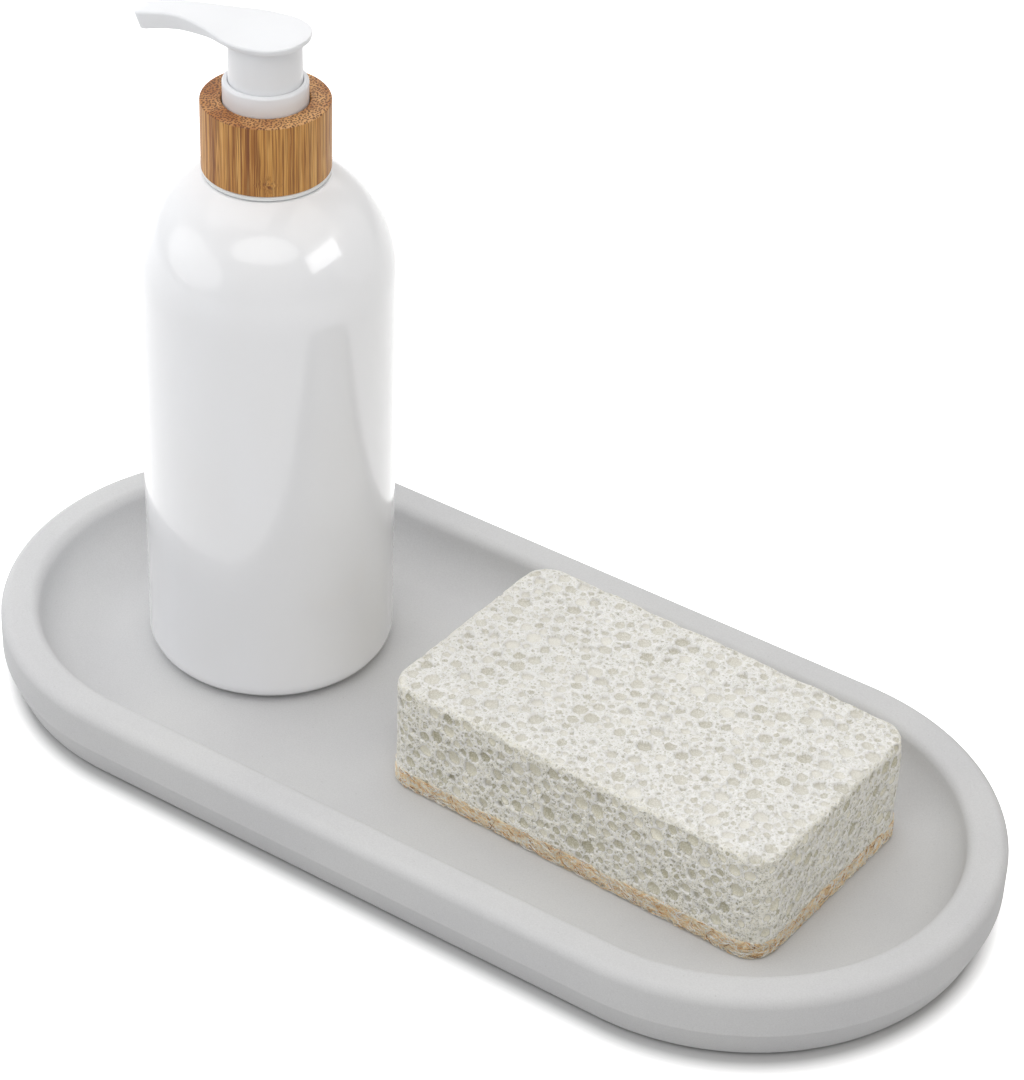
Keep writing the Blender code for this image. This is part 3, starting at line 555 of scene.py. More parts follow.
def pump_white():
    """Moulded pump plastic: white, half gloss, with a trace of moulding texture."""
    white = Finish("pump_white")
    place = white.place()
    flow = white.noise(place, 160.0, detail=3.0)
    skin = white.noise(place, 2400.0, detail=2.0)
    dark, light = tone(235, 236, 239), tone(238, 239, 241)
    return cloudy(white, flow, dark, light, (0.24, 0.14), flow + 0.15 * skin, 0.00006)


def fibre_bundles(wood, plan):
    """How far each point is, seen along the cane, from the middle of a fibre bundle."""
    sockets = {"Vector": plan, "Scale": BAMBOO_BUNDLES_SCALE, "Randomness": 0.8}
    return wood.node("ShaderNodeTexVoronoi", {"voronoi_dimensions": "2D"}, sockets)


def bamboo():
    """Bamboo with its fibre bundles upright: streaks on the side and dots on the end grain."""
    wood = Finish("bamboo", Specular_IOR_Level=0.34, Coat_Weight=0.04, Coat_Roughness=0.35)
    place = wood.place()
    height = SLEEVE_HIGH.z - SLEEVE_LOW.z
    x, y, z = wood.parts_of(place)
    angle = wood.node("ShaderNodeMath", {"operation": "ARCTAN2"}, {0: y, 1: x})
    around = abs(angle - BAMBOO_NODE_ANGLE) * SLEEVE_RADIUS
    above = abs(z - BAMBOO_NODE_HEIGHT)
    from_node = around / BAMBOO_NODE_REACH[0] + above / BAMBOO_NODE_REACH[1]
    near_node = wood.between(from_node, 0.15, 1.0, 1.0, 0.0)
    wander = wood.noise(wood.stretched(place, (1.0, 1.0, 0.16)), 420.0, detail=2.0)
    swirl = wood.noise(place, 520.0, detail=2.0)
    aside = (wander - 0.5) * BAMBOO_WANDER + near_node * (swirl - 0.5) * BAMBOO_NODE_SWIRL
    plan = wood.point(x + aside, y + aside, z * 0.02)
    strips = wood.noise(plan, 95.0, detail=2.0)
    streaks = wood.noise(plan, 620.0, detail=3.0, roughness=0.6)
    fibres = wood.noise(plan, 2600.0, detail=2.0)
    bundles = fibre_bundles(wood, plan)
    dark_bundle = wood.between(bundles, 0.18, 0.34, 1.0, 0.0)
    stops = (
        (0.30, tone(134, 78, 26)),
        (0.43, tone(176, 118, 54)),
        (0.56, tone(204, 148, 76)),
        (0.70, tone(226, 178, 108)),
    )
    lines = wood.noise(plan, 1300.0, detail=1.0)
    dark_line = wood.between(lines, 0.535, 0.585) * wood.between(strips, 0.36, 0.58, 0.75, 0.50)
    vein_side = abs(angle - BAMBOO_VEIN_ANGLE + (wander - 0.5) * 0.03) * SLEEVE_RADIUS
    vein = wood.between(vein_side, *BAMBOO_VEIN_WIDTHS, 1.0, 0.0)
    vein_reach = wood.between(z, height, BAMBOO_VEIN_LOW, 1.0, 0.25)
    flecks = wood.between(swirl, 0.52, 0.62) * near_node
    dots = wood.between(fibre_bundles(wood, place), 0.26, 0.44, 1.0, 0.0)
    end = wood.mix(wood.between(strips, 0.40, 0.62), tone(170, 110, 56), tone(216, 164, 106))
    end = wood.mix(dots * 0.88, end, tone(78, 40, 16))
    end_low, end_high = (height - depth for depth in BAMBOO_END_GRAIN_DEPTHS)
    colour = wood.layered(
        wood.ramp(0.38 * strips + 0.62 * streaks, stops),
        (dark_bundle * wood.between(streaks, 0.35, 0.65, 0.62, 0.30), tone(110, 58, 20)),
        (dark_line * 0.80, tone(104, 54, 18)),
        (wood.between(fibres, 0.50, 0.66, 0.0, 0.50), tone(112, 62, 22)),
        (wood.between(fibres, 0.46, 0.30, 0.0, 0.50), tone(234, 186, 112)),
        (vein * vein_reach * 0.75, tone(104, 50, 24)),
        (flecks * 0.85, tone(100, 48, 22)),
        (wood.between(z, end_low, end_high), end),
    )
    wood.feed("Base Color", colour)
    wood.feed("Roughness", 0.40 + 0.28 * fibres)
    relief = 0.5 * fibres + 0.5 * streaks - 0.5 * dark_bundle
    wood.feed("Normal", wood.bump(relief, 0.00010, 0.6))
    return wood.material


def natural_plastic():
    """Unpigmented plastic, a little cloudy, for the liner, housing, tube, stem and plug."""
    milky = Finish("natural_plastic")
    place = milky.place()
    cloud = milky.noise(place, 220.0, detail=3.0)
    skin = milky.noise(place, 3000.0)
    dark, light = tone(232, 234, 234), tone(242, 243, 242)
    return cloudy(milky, cloud, dark, light, (0.28, 0.16), cloud + 0.2 * skin, 0.00004)


def seal_rubber():
    """Soft seal plastic with a dry, faintly powdered skin."""
    seal = Finish("seal_plastic", Specular_IOR_Level=0.4)
    place = seal.place()
    powder = seal.noise(place, 1500.0, detail=4.0)
    dark, light = tone(200, 200, 196), tone(218, 218, 214)
    return cloudy(seal, powder, dark, light, (0.48, 0.25), powder, 0.00004)


def spring_steel():
    """Drawn stainless wire and a ground ball, with fine draw marks."""
    steel = Finish("spring_steel", Metallic=1.0)
    place = steel.place()
    marks = steel.noise(steel.stretched(place, (1.0, 1.0, 0.2)), 3600.0, detail=3.0)
    dark, light = tone(176, 176, 180), tone(205, 205, 208)
    return cloudy(steel, marks, dark, light, (0.20, 0.20), marks, 0.00002)


def pore_layer(foam, place, scale, share):
    """Round pores of random sizes: how open a point is, how near a lip, and a random tone for the
    painted shade of its floor.
    """
    cells = foam.cells(place, scale)
    size, chance, shade = foam.parts_of(*foam.outputs_of(cells, ["Color"]))
    there = foam.between(chance, 1.0 - share, 1.04 - share)
    past = cells - (0.14 + 0.28 * size)
    opening = foam.between(past, -0.05, 0.03, 1.0, 0.0) * there
    lip = foam.between(abs(past - 0.06), 0.01, 0.06, 1.0, 0.0) * there
    return opening, lip, shade


def cellulose_foam():
    """Cellulose sponge: chalky walls, greyer and smoother bubble floors, a warm cut edge, with
    painted shade in its pits, pores and pore edges, painted highlights on lips and threads, and
    side walls painted lighter.
    """
    foam = Finish("cellulose_foam", Specular_IOR_Level=0.25, Sheen_Weight=0.15)
    place = foam.place()
    names = ("pore", "crumb", "edge", "rim", "side", "pore_shade")
    pore, crumb, edge, rim, side, pore_shade = (foam.painted(name) for name in names)
    patches = foam.noise(place, 75.0, detail=3.0)
    web = foam.noise(place, 1500.0, detail=3.0, roughness=0.65)
    grain = foam.noise(place, 3400.0, detail=2.0)
    open_wall = 1.0 - foam.between(pore, 0.10, 0.60)
    sockets = {"Vector": place, "Scale": 900.0}
    warp = foam.node("ShaderNodeTexNoise", sockets=sockets, output="Color")
    bend = {0: warp, 1: (PAINTED_PORE_BEND,) * 3, 2: place}
    bent = foam.node("ShaderNodeVectorMath", {"operation": "MULTIPLY_ADD"}, bend)
    # lace: thin foam threads, painted white as glints and raised in the relief
    thread = abs(foam.noise(bent, 1500.0, detail=2.0, roughness=0.6) - 0.5)
    lace = foam.between(thread, 0.0, 0.045, 1.0, 0.0)
    wall = foam.layered(
        foam.mix(foam.between(web, 0.38, 0.54), tone(240, 239, 233), tone(255, 255, 254)),
        (foam.between(patches, 0.35, 0.70, 0.0, 0.30), tone(244, 241, 233)),
        # painted shade: the crumbs' pits are darkened as shade in them
        (crumb * 0.35, tone(218, 215, 202)),
        # painted light: the side walls are lightened where less light reaches them
        (side * 0.75, tone(255, 251, 236)),
    )
    hollows = 0.0
    for scale, share, weight, deeper in PAINTED_PORES:
        opening, lip, shade = pore_layer(foam, bent, scale, share)
        # painted shade in the pore: greyer floors on top, darker and more olive on the sides
        top = foam.mix(shade, tone(198 - deeper, 195 - deeper, 180 - deeper), tone(246, 245, 239))
        flank = foam.mix(shade, tone(174 - deeper, 168 - deeper, 138 - deeper), tone(244, 240, 226))
        within = (opening * weight, foam.mix(side, top, flank))
        # the lip is whitened as a painted highlight
        wall = foam.layered(wall, within, (lip * 0.80, tone(255, 255, 253)))
        hollows = opening + hollows
    # pricks: tiny holes, painted dark as shade in them
    pricks = foam.between(foam.cells(place, 2100.0), 0.20, 0.40, 1.0, 0.0)
    pricks = pricks * foam.between(foam.noise(place, 900.0), 0.46, 0.58)
    specks = foam.noise(place, 2300.0, detail=2.0, roughness=0.7)
    dull = foam.between(specks, 0.51, 0.60, 0.0, 0.50) * (1.0 - 0.5 * side)
    flecks = foam.between(foam.noise(bent, 1250.0, detail=3.0, roughness=0.75), 0.50, 0.62)
    wall = foam.layered(
        wall,
        # painted shade: tiny holes darkened, more on the sides
        (pricks * (0.50 + 0.30 * side), tone(150, 145, 122)),
        (dull, tone(192, 187, 166)),
        # painted shade: dark flecks on the sides only, as shade in their fine pores
        (flecks * side * 0.55, tone(146, 139, 106)),
        # painted highlights: glints along the thin threads, more on the sides
        (lace * (0.70 + 0.25 * side), tone(255, 255, 250)),
    )
    depth_tone = 0.65 * pore_shade + 0.35 * foam.between(grain, 0.35, 0.70)
    # the floors' greyer tone on top is the foam's own; on the sides they are painted darker and
    # more olive as painted shade
    top_floor = foam.mix(depth_tone, tone(188, 184, 168), tone(243, 241, 234))
    side_floor = foam.mix(depth_tone, tone(172, 166, 134), tone(250, 246, 230))
    # painted shade: a dark ring inside each pore's lip, more on the sides
    pore_edge_shade = foam.between(abs(pore - 0.55), 0.05, 0.25, 1.0, 0.0)
    floor = foam.layered(
        foam.mix(side, top_floor, side_floor),
        (foam.between(specks, 0.48, 0.38, 0.0, 0.45), tone(252, 251, 245)),
        (pore_edge_shade * (0.25 + 0.40 * side), tone(126, 118, 86)),
        # painted highlights along the threads over the pore floors
        (lace * 0.35, tone(252, 251, 247)),
    )
    colour = foam.layered(
        foam.mix(foam.between(pore, 0.20, 0.70), wall, floor),
        # painted highlight: the bubbles' lips are whitened
        (rim * 0.8, tone(255, 254, 252)),
        (edge * foam.between(web, 0.40, 0.60, 0.0, 0.35), tone(240, 233, 202)),
    )
    foam.feed("Base Color", colour)
    foam.feed("Roughness", 0.92 - 0.30 * pore)
    relief = 0.45 * web + 0.30 * grain + 0.25 * lace
    relief = (relief - 0.40 * pricks - 0.60 * hollows * open_wall) * (1.0 - 0.60 * pore)
    foam.feed("Normal", foam.bump(relief, 0.00028, 0.75))
    return foam.material


def scour_fibre():
    """Plant fibre: each strand has its own shade, from bleached to brown."""
    fibre = Finish("scour_fibre", Specular_IOR_Level=0.3, Sheen_Weight=0.10)
    place = fibre.place()
    shade = fibre.painted("shade")
    mottle = fibre.noise(place, 900.0, detail=3.0, roughness=0.6)
    grain = fibre.noise(place, 4200.0)
    stops = (
        (0.04, tone(150, 100, 56)),
        (0.16, tone(226, 178, 120)),
        (0.32, tone(252, 222, 172)),
        (0.54, tone(255, 244, 216)),
        (0.76, tone(255, 254, 250)),
    )
    fibre.feed("Base Color", fibre.ramp(shade + 0.90 * (mottle - 0.5), stops))
    fibre.feed("Roughness", 0.70 + 0.20 * grain)
    fibre.feed("Normal", fibre.bump(0.6 * grain + 0.4 * mottle, 0.00008, 0.7))
    return fibre.material


# Mesh tools

def rounded(corners, steps=ROUND_STEPS):
    """Points of an outline whose corners are (across, up, radius), each round one as an arc."""
    points = []
    count = len(corners)
    for index, (across, up, radius) in enumerate(corners):
        corner = Vector((across, up))
        if radius <= 0:
            points.append(corner)
            continue
        before = (Vector(corners[index - 1][:2]) - corner).normalized()
        after = (Vector(corners[(index + 1) % count][:2]) - corner).normalized()
        half_angle = before.angle(after) / 2
        reach = radius / math.tan(half_angle)
        centre = corner + (before + after).normalized() * (radius / math.sin(half_angle))
        start = corner + before * reach - centre
        turn = (corner + after * reach - centre).angle_signed(start)
        for step in range(steps + 1):
            angle = turn * step / steps
            points.append(centre + Matrix.Rotation(angle, 2) @ start)
    return points


def circle(sides):
    """The cosine and sine of each corner of a regular polygon, counterclockwise."""
    angles = [math.tau * side / sides for side in range(sides)]
    return [(math.cos(angle), math.sin(angle)) for angle in angles]


def turned(outline, segments):
    """Spins a closed outline, or one that starts and ends on the axis, about Z."""
    bm = bmesh.new()
    ring = [bm.verts.new((point[0], 0, point[1])) for point in outline]
    on_axis = outline[0][0] == 0 and outline[-1][0] == 0
    edges = [bm.edges.new(pair) for pair in zip(ring, ring[1:])]
    if not on_axis:
        edges.append(bm.edges.new((ring[-1], ring[0])))
    bmesh.ops.spin(
        bm,
        geom=ring + edges,
        axis=(0, 0, 1),
        cent=(0, 0, 0),
        angle=math.tau,
        steps=segments,
        use_merge=True,
        use_duplicate=False,
    )
    bmesh.ops.remove_doubles(bm, verts=bm.verts, dist=MERGE_DISTANCE)
    return bm


def bridged(rings):
    """Joins rings of equally many points into a closed solid with flat ends."""
    bm = bmesh.new()
    loops = [[bm.verts.new(point) for point in ring] for ring in rings]
    for lower, upper in zip(loops, loops[1:]):
        for index in range(len(lower)):
            following = (index + 1) % len(lower)
            bm.faces.new((lower[index], lower[following], upper[following], upper[index]))
    bm.faces.new(reversed(loops[0]))
    bm.faces.new(loops[-1])
    return bm


def rounded_rectangle(half_x, half_y, corner, inset, steps):
    """One level outline, counterclockwise, drawn in by the inset."""
    points = []
    for quarter in range(4):
        side_x = 1 if quarter in (0, 3) else -1
        side_y = 1 if quarter in (0, 1) else -1
        centre = Vector((side_x * (half_x - corner), side_y * (half_y - corner)))
        for step in range(steps + 1):
            angle = math.pi / 2 * (quarter + step / steps)
            point = centre + (corner - inset) * Vector((math.cos(angle), math.sin(angle)))
            if not points or (point - points[-1]).length > MERGE_DISTANCE:
                points.append(point)
    if (points[0] - points[-1]).length < MERGE_DISTANCE:
        points.pop()
    return points


def stacked(half_x, half_y, corner, profile, steps):
    """A solid of level outlines: the profile gives each one's inset and height."""
    rings = []
    for inset, height in profile:
        outline = rounded_rectangle(half_x, half_y, corner, inset, steps)
        rings.append([(point.x, point.y, height) for point in outline])
    return bridged(rings)


def tooth_share(distance):
    """Height of a thread tooth at a distance along the axis from its middle."""
    flank = (THREAD_ROOT_WIDTH - THREAD_CREST_WIDTH) / 2
    return min(1.0, max(0.0, (THREAD_ROOT_WIDTH / 2 - abs(distance)) / flank))


def raise_thread(bm, root, start, depth):
    """Pushes the points of a cylinder's wall out, or in, along a right-hand helix."""
    for vert in bm.verts:
        radius = math.hypot(vert.co.x, vert.co.y)
        if abs(radius - root) > THREAD_TOUCH:
            continue
        turn = math.atan2(vert.co.y, vert.co.x) / math.tau % 1.0
        rise = 0.0
        for wrap in range(math.ceil(THREAD_TURNS) + 1):
            along = turn + wrap
            lead_in = min(along, THREAD_TURNS - along) / THREAD_LEAD_IN_TURNS
            middle = start + THREAD_PITCH * along
            height = tooth_share(vert.co.z - middle) * min(1.0, max(0.0, lead_in))
            rise = max(rise, height)
        scale = (radius + depth * rise) / radius
        vert.co.x *= scale
        vert.co.y *= scale


def thread_rows(low, high):
    """Heights at which a threaded wall is divided, from low to high."""
    count = round((high - low) / THREAD_PITCH * THREAD_STEPS_PER_PITCH)
    return [low + (high - low) * row / count for row in range(count + 1)]


def smoothed(mesh, crease_degrees):
    """The mesh with smooth shading, except over edges sharper than the crease angle."""
    mesh.shade_smooth()
    mesh.set_sharp_from_angle(angle=math.radians(crease_degrees))
    return mesh


def mesh_from(bm, name, crease_degrees=CREASE_DEGREES):
    """The mesh of a bmesh, which is then freed."""
    bmesh.ops.recalc_face_normals(bm, faces=bm.faces)
    mesh = bpy.data.meshes.new(name)
    bm.to_mesh(mesh)
    bm.free()
    return smoothed(mesh, crease_degrees)


def shaped(bm, name, tools, crease_degrees):
    """The mesh of a solid after other solids, each (bmesh, operation), have cut or joined it."""
    helpers = [bpy.data.objects.new(name + "_whole", mesh_from(bm, name + "_whole"))]
    for tool, operation in tools:
        helper = bpy.data.objects.new(name + "_tool", mesh_from(tool, name + "_tool"))
        modifier = helpers[0].modifiers.new(operation, "BOOLEAN")
        modifier.operation = operation
        modifier.object = helper
        modifier.solver = "EXACT"
        helpers.append(helper)
    for helper in helpers:
        bpy.context.scene.collection.objects.link(helper)
    evaluated = helpers[0].evaluated_get(bpy.context.evaluated_depsgraph_get())
    mesh = bpy.data.meshes.new_from_object(evaluated)
    mesh.name = name
    for helper in helpers:
        used = helper.data
        bpy.data.objects.remove(helper, do_unlink=True)
        bpy.data.meshes.remove(used)
    return smoothed(mesh, crease_degrees)


def add_piece(name, mesh, finish, body, nodes, at=(0.0, 0.0, 0.0), turn=0.0):
    """Puts a mesh in the scene as a piece that rides on a body and stands for CAD nodes."""
    mesh.materials.clear()
    mesh.materials.append(finish)
    made = bpy.data.objects.new(name, mesh)
    made.location = at
    made.rotation_euler.z = turn
    bpy.context.scene.collection.objects.link(made)
    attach(made, body)
    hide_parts(*nodes)
    return made


def add_on_axis(bm, name, finish, body, node, base, crease_degrees=CREASE_DEGREES):
    """Adds a solid that is modelled from its own base, on the bottle's axis."""
    mesh = mesh_from(bm, name, crease_degrees)
    return add_piece(name, mesh, finish, body, [node], at=(AXIS_X, AXIS_Y, base))


# Tray and feet

def foot_box(node):
    """A foot's centre and radius, and the levels of its underside and its top."""
    low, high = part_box(node)
    return (low + high) / 2, (high.x - low.x) / 2, low.z, high.z


def make_tray(finish):
    """The stone tray: one profile stacked round its outline, and a pocket for each foot."""
    half_x = (TRAY_HIGH.x - TRAY_LOW.x) / 2
    half_y = (TRAY_HIGH.y - TRAY_LOW.y) / 2
    under, top = TRAY_LOW.z, TRAY_HIGH.z
    corners = (
        (BASE_INSET, under, BASE_EDGE_ROUND),
        (0, BAND_LOW_EDGE, BAND_EDGE_ROUND),
        (0, top, RIM_OUTER_ROUND),
        (RIM_WIDTH, top, RIM_INNER_ROUND),
        (RIM_WIDTH + BASIN_WALL_LEAN, FLOOR_HEIGHT, BASIN_FILLET),
        (half_y, FLOOR_HEIGHT, 0),
        (half_y, under, 0),
    )
    profile = rounded(corners, TRAY_ROUND_STEPS)[:-2]
    flat_margin = BASE_EDGE_ROUND
    profile.insert(0, Vector((profile[0].x + flat_margin, under)))
    profile.append(Vector((profile[-1].x + flat_margin, FLOOR_HEIGHT)))
    whole = stacked(half_x, half_y, half_y, profile, TRAY_CORNER_STEPS)
    pockets = []
    for node in FOOT_NODES:
        centre, radius, _, high = foot_box(node)
        outline = (
            (0, high + FIT_GAP),
            (radius + FIT_GAP, high + FIT_GAP),
            (radius + FIT_GAP, under - CUT_OVERRUN),
            (0, under - CUT_OVERRUN),
        )
        pocket = turned(outline, FOOT_SEGMENTS)
        bmesh.ops.translate(pocket, verts=pocket.verts, vec=(centre.x, centre.y, 0))
        pockets.append((pocket, "DIFFERENCE"))
    mesh = shaped(whole, "stone_tray", pockets, TRAY_CREASE_DEGREES)
    add_piece("stone_tray", mesh, finish, "tray", ["tray_body"])


def make_feet(finish):
    """Round silicone feet with a shallow ring moulded in the face that they stand on."""
    for number, node in enumerate(FOOT_NODES, start=1):
        centre, radius, low, high = foot_box(node)
        thick = high - low
        ring = FOOT_RING_RADIUS
        corners = (
            (ring - FOOT_ROUND, 0, 0),
            (ring, FOOT_ROUND / 2, FOOT_ROUND / 4),
            (ring + FOOT_ROUND, 0, 0),
            (radius, 0, FOOT_ROUND),
            (radius, thick, FOOT_ROUND / 2),
            (0, thick, 0),
            (0, 0, 0),
        )
        outline = [Vector((0, 0))] + rounded(corners, RING_ROUND_STEPS)[:-1]
        name = f"rubber_foot_{number}"
        mesh = mesh_from(turned(outline, FOOT_SEGMENTS), name)
        place = (centre.x, centre.y, low)
        add_piece(name, mesh, finish, "tray", [node], at=place)


# Bottle

def shoulder_arc(radius, from_angle, to_angle):
    """Points of the shoulder's round, measured up from the bottle's standing ring."""
    points = []
    for step in range(SHOULDER_STEPS + 1):
        angle = from_angle + (to_angle - from_angle) * step / SHOULDER_STEPS
        height = SHOULDER_CENTRE - BOTTLE_LOW.z + radius * math.sin(angle)
        points.append(Vector((radius * math.cos(angle), height)))
    return points


def bottle_outline():
    """Outer and inner wall as one line, from the axis and back to it."""
    ledge = LEDGE - BOTTLE_LOW.z
    neck_top = NECK_TOP - BOTTLE_LOW.z
    shoulder_start = SHOULDER_CENTRE - BOTTLE_LOW.z
    ring_radius = BOTTLE_RADIUS - BOTTLE_STANDING_RING
    push_up_radius = ring_radius - BOTTLE_PUSH_UP
    base = (
        (0, BOTTLE_PUSH_UP, 0),
        (push_up_radius, BOTTLE_PUSH_UP, BOTTLE_RING_ROUND),
        (ring_radius, 0, BOTTLE_RING_ROUND),
        (BOTTLE_RADIUS, 0, BOTTLE_FOOT_ROUND),
        (BOTTLE_RADIUS, shoulder_start, 0),
    )
    outer = shoulder_arc(BOTTLE_RADIUS, 0, math.acos(LEDGE_RADIUS / BOTTLE_RADIUS))
    eased = (
        (*outer[-2], 0),
        (LEDGE_RADIUS, ledge, LEDGE_EASING),
        (NECK_RADIUS, ledge, 0),
    )
    neck_foot = (
        (LEDGE_RADIUS, ledge, 0),
        (NECK_RADIUS, ledge, NECK_FILLET),
        (NECK_RADIUS, neck_top, 0),
    )
    neck_foot = rounded(neck_foot)[1:-1]
    rows = thread_rows(neck_foot[-1].y + NECK_LIP_ROUND, neck_top - NECK_LIP_ROUND)
    wall = [Vector((NECK_RADIUS, z)) for z in rows]
    inner_ledge = ledge - BOTTLE_WALL
    inner_radius = BOTTLE_RADIUS - BOTTLE_WALL
    inner_angle = math.asin((inner_ledge - shoulder_start) / inner_radius)
    mouth = (
        (NECK_RADIUS, neck_top, NECK_LIP_ROUND),
        (NECK_BORE, neck_top, NECK_LIP_ROUND),
        (NECK_BORE, inner_ledge, 2 * BOTTLE_RING_ROUND),
        (inner_radius * math.cos(inner_angle), inner_ledge, 0),
    )
    mouth = rounded(mouth, INNER_ROUND_STEPS)[:-1]
    inner = shoulder_arc(inner_radius, inner_angle, 0)
    inner_push_up = BOTTLE_PUSH_UP + BOTTLE_BASE_THICKNESS
    floor = (
        (inner_radius, shoulder_start, 0),
        (inner_radius, BOTTLE_BASE_THICKNESS, BOTTLE_FOOT_ROUND - BOTTLE_WALL),
        (ring_radius, BOTTLE_BASE_THICKNESS, BOTTLE_RING_ROUND),
        (push_up_radius, inner_push_up, BOTTLE_RING_ROUND),
        (0, inner_push_up, 0),
    )
    outside = rounded(base)[:-1] + outer[:-2] + rounded(eased)[:-1] + neck_foot + wall
    return outside + mouth + inner + rounded(floor, INNER_ROUND_STEPS)[1:]


def make_bottle(finish):
    """The hollow bottle, with a thread raised on its neck."""
    base = BOTTLE_LOW.z
    bm = turned(bottle_outline(), BOTTLE_SEGMENTS)
    raise_thread(bm, NECK_RADIUS, LEDGE - base + THREAD_START_ABOVE_LEDGE, THREAD_DEPTH)
    add_on_axis(bm, "bottle_body", finish, "bottle", "bottle_shell", base)


# Collar

def make_sleeve(finish):
    """The bamboo sleeve, bored for the liner, with a smaller hole for the guide ring."""
    base = SLEEVE_LOW.z
    height = SLEEVE_HIGH.z - base
    step = LINER_HIGH.z + GUIDE_LIP + 2 * FIT_GAP - base
    corners = (
        (SLEEVE_BORE, 0, 0),
        (SLEEVE_RADIUS, 0, SLEEVE_OUTER_ROUND),
        (SLEEVE_RADIUS, height, SLEEVE_OUTER_ROUND),
        (SLEEVE_HOLE, height, SLEEVE_HOLE_ROUND),
        (SLEEVE_HOLE, step, 0),
        (SLEEVE_BORE, step, 0),
    )
    bm = turned(rounded(corners, RING_ROUND_STEPS), COLLAR_SEGMENTS)
    add_on_axis(
        bm,
        "bamboo_sleeve",
        finish,
        "collar",
        "bamboo_collar",
        base,
        crease_degrees=SLEEVE_CREASE_DEGREES,
    )


def make_liner(finish):
    """The threaded liner. Its flange shows as a line under the sleeve."""
    base = LINER_LOW.z
    web_top = LINER_HIGH.z - base
    corners = (
        (LINER_BORE, 0, 0),
        (LINER_RADIUS, 0, LINER_ROUND),
        (LINER_RADIUS, LINER_FLANGE, LINER_ROUND),
        (LINER_BORE + LINER_WALL, LINER_FLANGE, 0),
        (LINER_BORE + LINER_WALL, web_top, 0),
        (GUIDE_RADIUS + FIT_GAP, web_top, 0),
        (GUIDE_RADIUS + FIT_GAP, web_top - LINER_WEB, 0),
        (LINER_BORE, web_top - LINER_WEB, 0),
    )
    rows = thread_rows(0, NECK_TOP - base)[1:]
    outline = rounded(corners, RING_ROUND_STEPS) + [Vector((LINER_BORE, z)) for z in reversed(rows)]
    bm = turned(outline, COLLAR_SEGMENTS)
    start = LEDGE - base + THREAD_START_ABOVE_LEDGE - THREAD_PITCH / 2
    raise_thread(bm, LINER_BORE, start, -COLLAR_THREAD_DEPTH)
    add_on_axis(bm, "neck_liner", finish, "collar", "thread_insert", base)


def make_guide(finish):
    """The ring that stands up out of the sleeve, with the plug that fills the housing's mouth."""
    base = GUIDE_LOW.z
    top = GUIDE_HIGH.z - base
    shoulder = GUIDE_PLUG_LENGTH
    lip_low = LINER_HIGH.z + FIT_GAP - base
    lip_high = lip_low + GUIDE_LIP
    well = GUIDE_RADIUS - GUIDE_WALL
    floor = shoulder + GUIDE_BASE
    corners = (
        (STEM_HOLE, 0, 0),
        (GUIDE_PLUG_RADIUS, 0, 0),
        (GUIDE_PLUG_RADIUS, shoulder, 0),
        (GUIDE_RADIUS, shoulder, 0),
        (GUIDE_RADIUS, lip_low, 0),
        (GUIDE_LIP_RADIUS, lip_low, 0),
        (GUIDE_LIP_RADIUS, lip_high, 0),
        (GUIDE_RADIUS, lip_high, 0),
        (GUIDE_RADIUS, top, GUIDE_OUTER_ROUND),
        (well, top, GUIDE_INNER_ROUND),
        (well, floor, 0),
        (STEM_HOLE, floor, 0),
    )
    bm = turned(rounded(corners, GUIDE_ROUND_STEPS), PUMP_SEGMENTS)
    add_on_axis(bm, "pump_guide", finish, "pump", "guide_ring", base)


def make_spring(finish):
    """The return spring, which stays on its seat in the housing and follows the plug down."""
    base = SPRING_LOW.z
    radius = (SPRING_HIGH.x - SPRING_LOW.x) / 2 - SPRING_WIRE_RADIUS
    rise = SPRING_HIGH.z - base - 2 * SPRING_WIRE_RADIUS
    up = Vector((0, 0, 1))
    rings = []
    for step in range(SPRING_TURNS * SPRING_STEPS_PER_TURN + 1):
        turns = step / SPRING_STEPS_PER_TURN
        wound = (turns - SPRING_END_TURNS) / (SPRING_TURNS - 2 * SPRING_END_TURNS)
        out = Vector((math.cos(math.tau * turns), math.sin(math.tau * turns), 0))
        centre = radius * out + (SPRING_WIRE_RADIUS + rise * min(max(wound, 0.0), 1.0)) * up
        ways = [cosine * out + sine * up for cosine, sine in circle(SPRING_WIRE_SIDES)]
        rings.append([centre + SPRING_WIRE_RADIUS * way for way in ways])
    bm = bridged(rings)
    spring = add_on_axis(bm, "coil_spring", finish, "pump", "return_spring", base)
    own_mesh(spring)


# Pump head

def smooth_stations(table, rings_between):
    """The table's rows with more between them, on a smooth curve through each column."""
    rows = [np.array(row) for row in table]
    padded = [2 * rows[0] - rows[1]] + rows + [2 * rows[-1] - rows[-2]]
    stations = []
    for before, start, end, after in zip(padded, padded[1:], padded[2:], padded[3:]):
        for step in range(rings_between):
            t = step / rings_between
            bend = 2 * before - 5 * start + 4 * end - after
            twist = 3 * (start - end) + after - before
            stations.append((2 * start + (end - before) * t + bend * t**2 + twist * t**3) / 2)
    stations.append(rows[-1])
    return stations


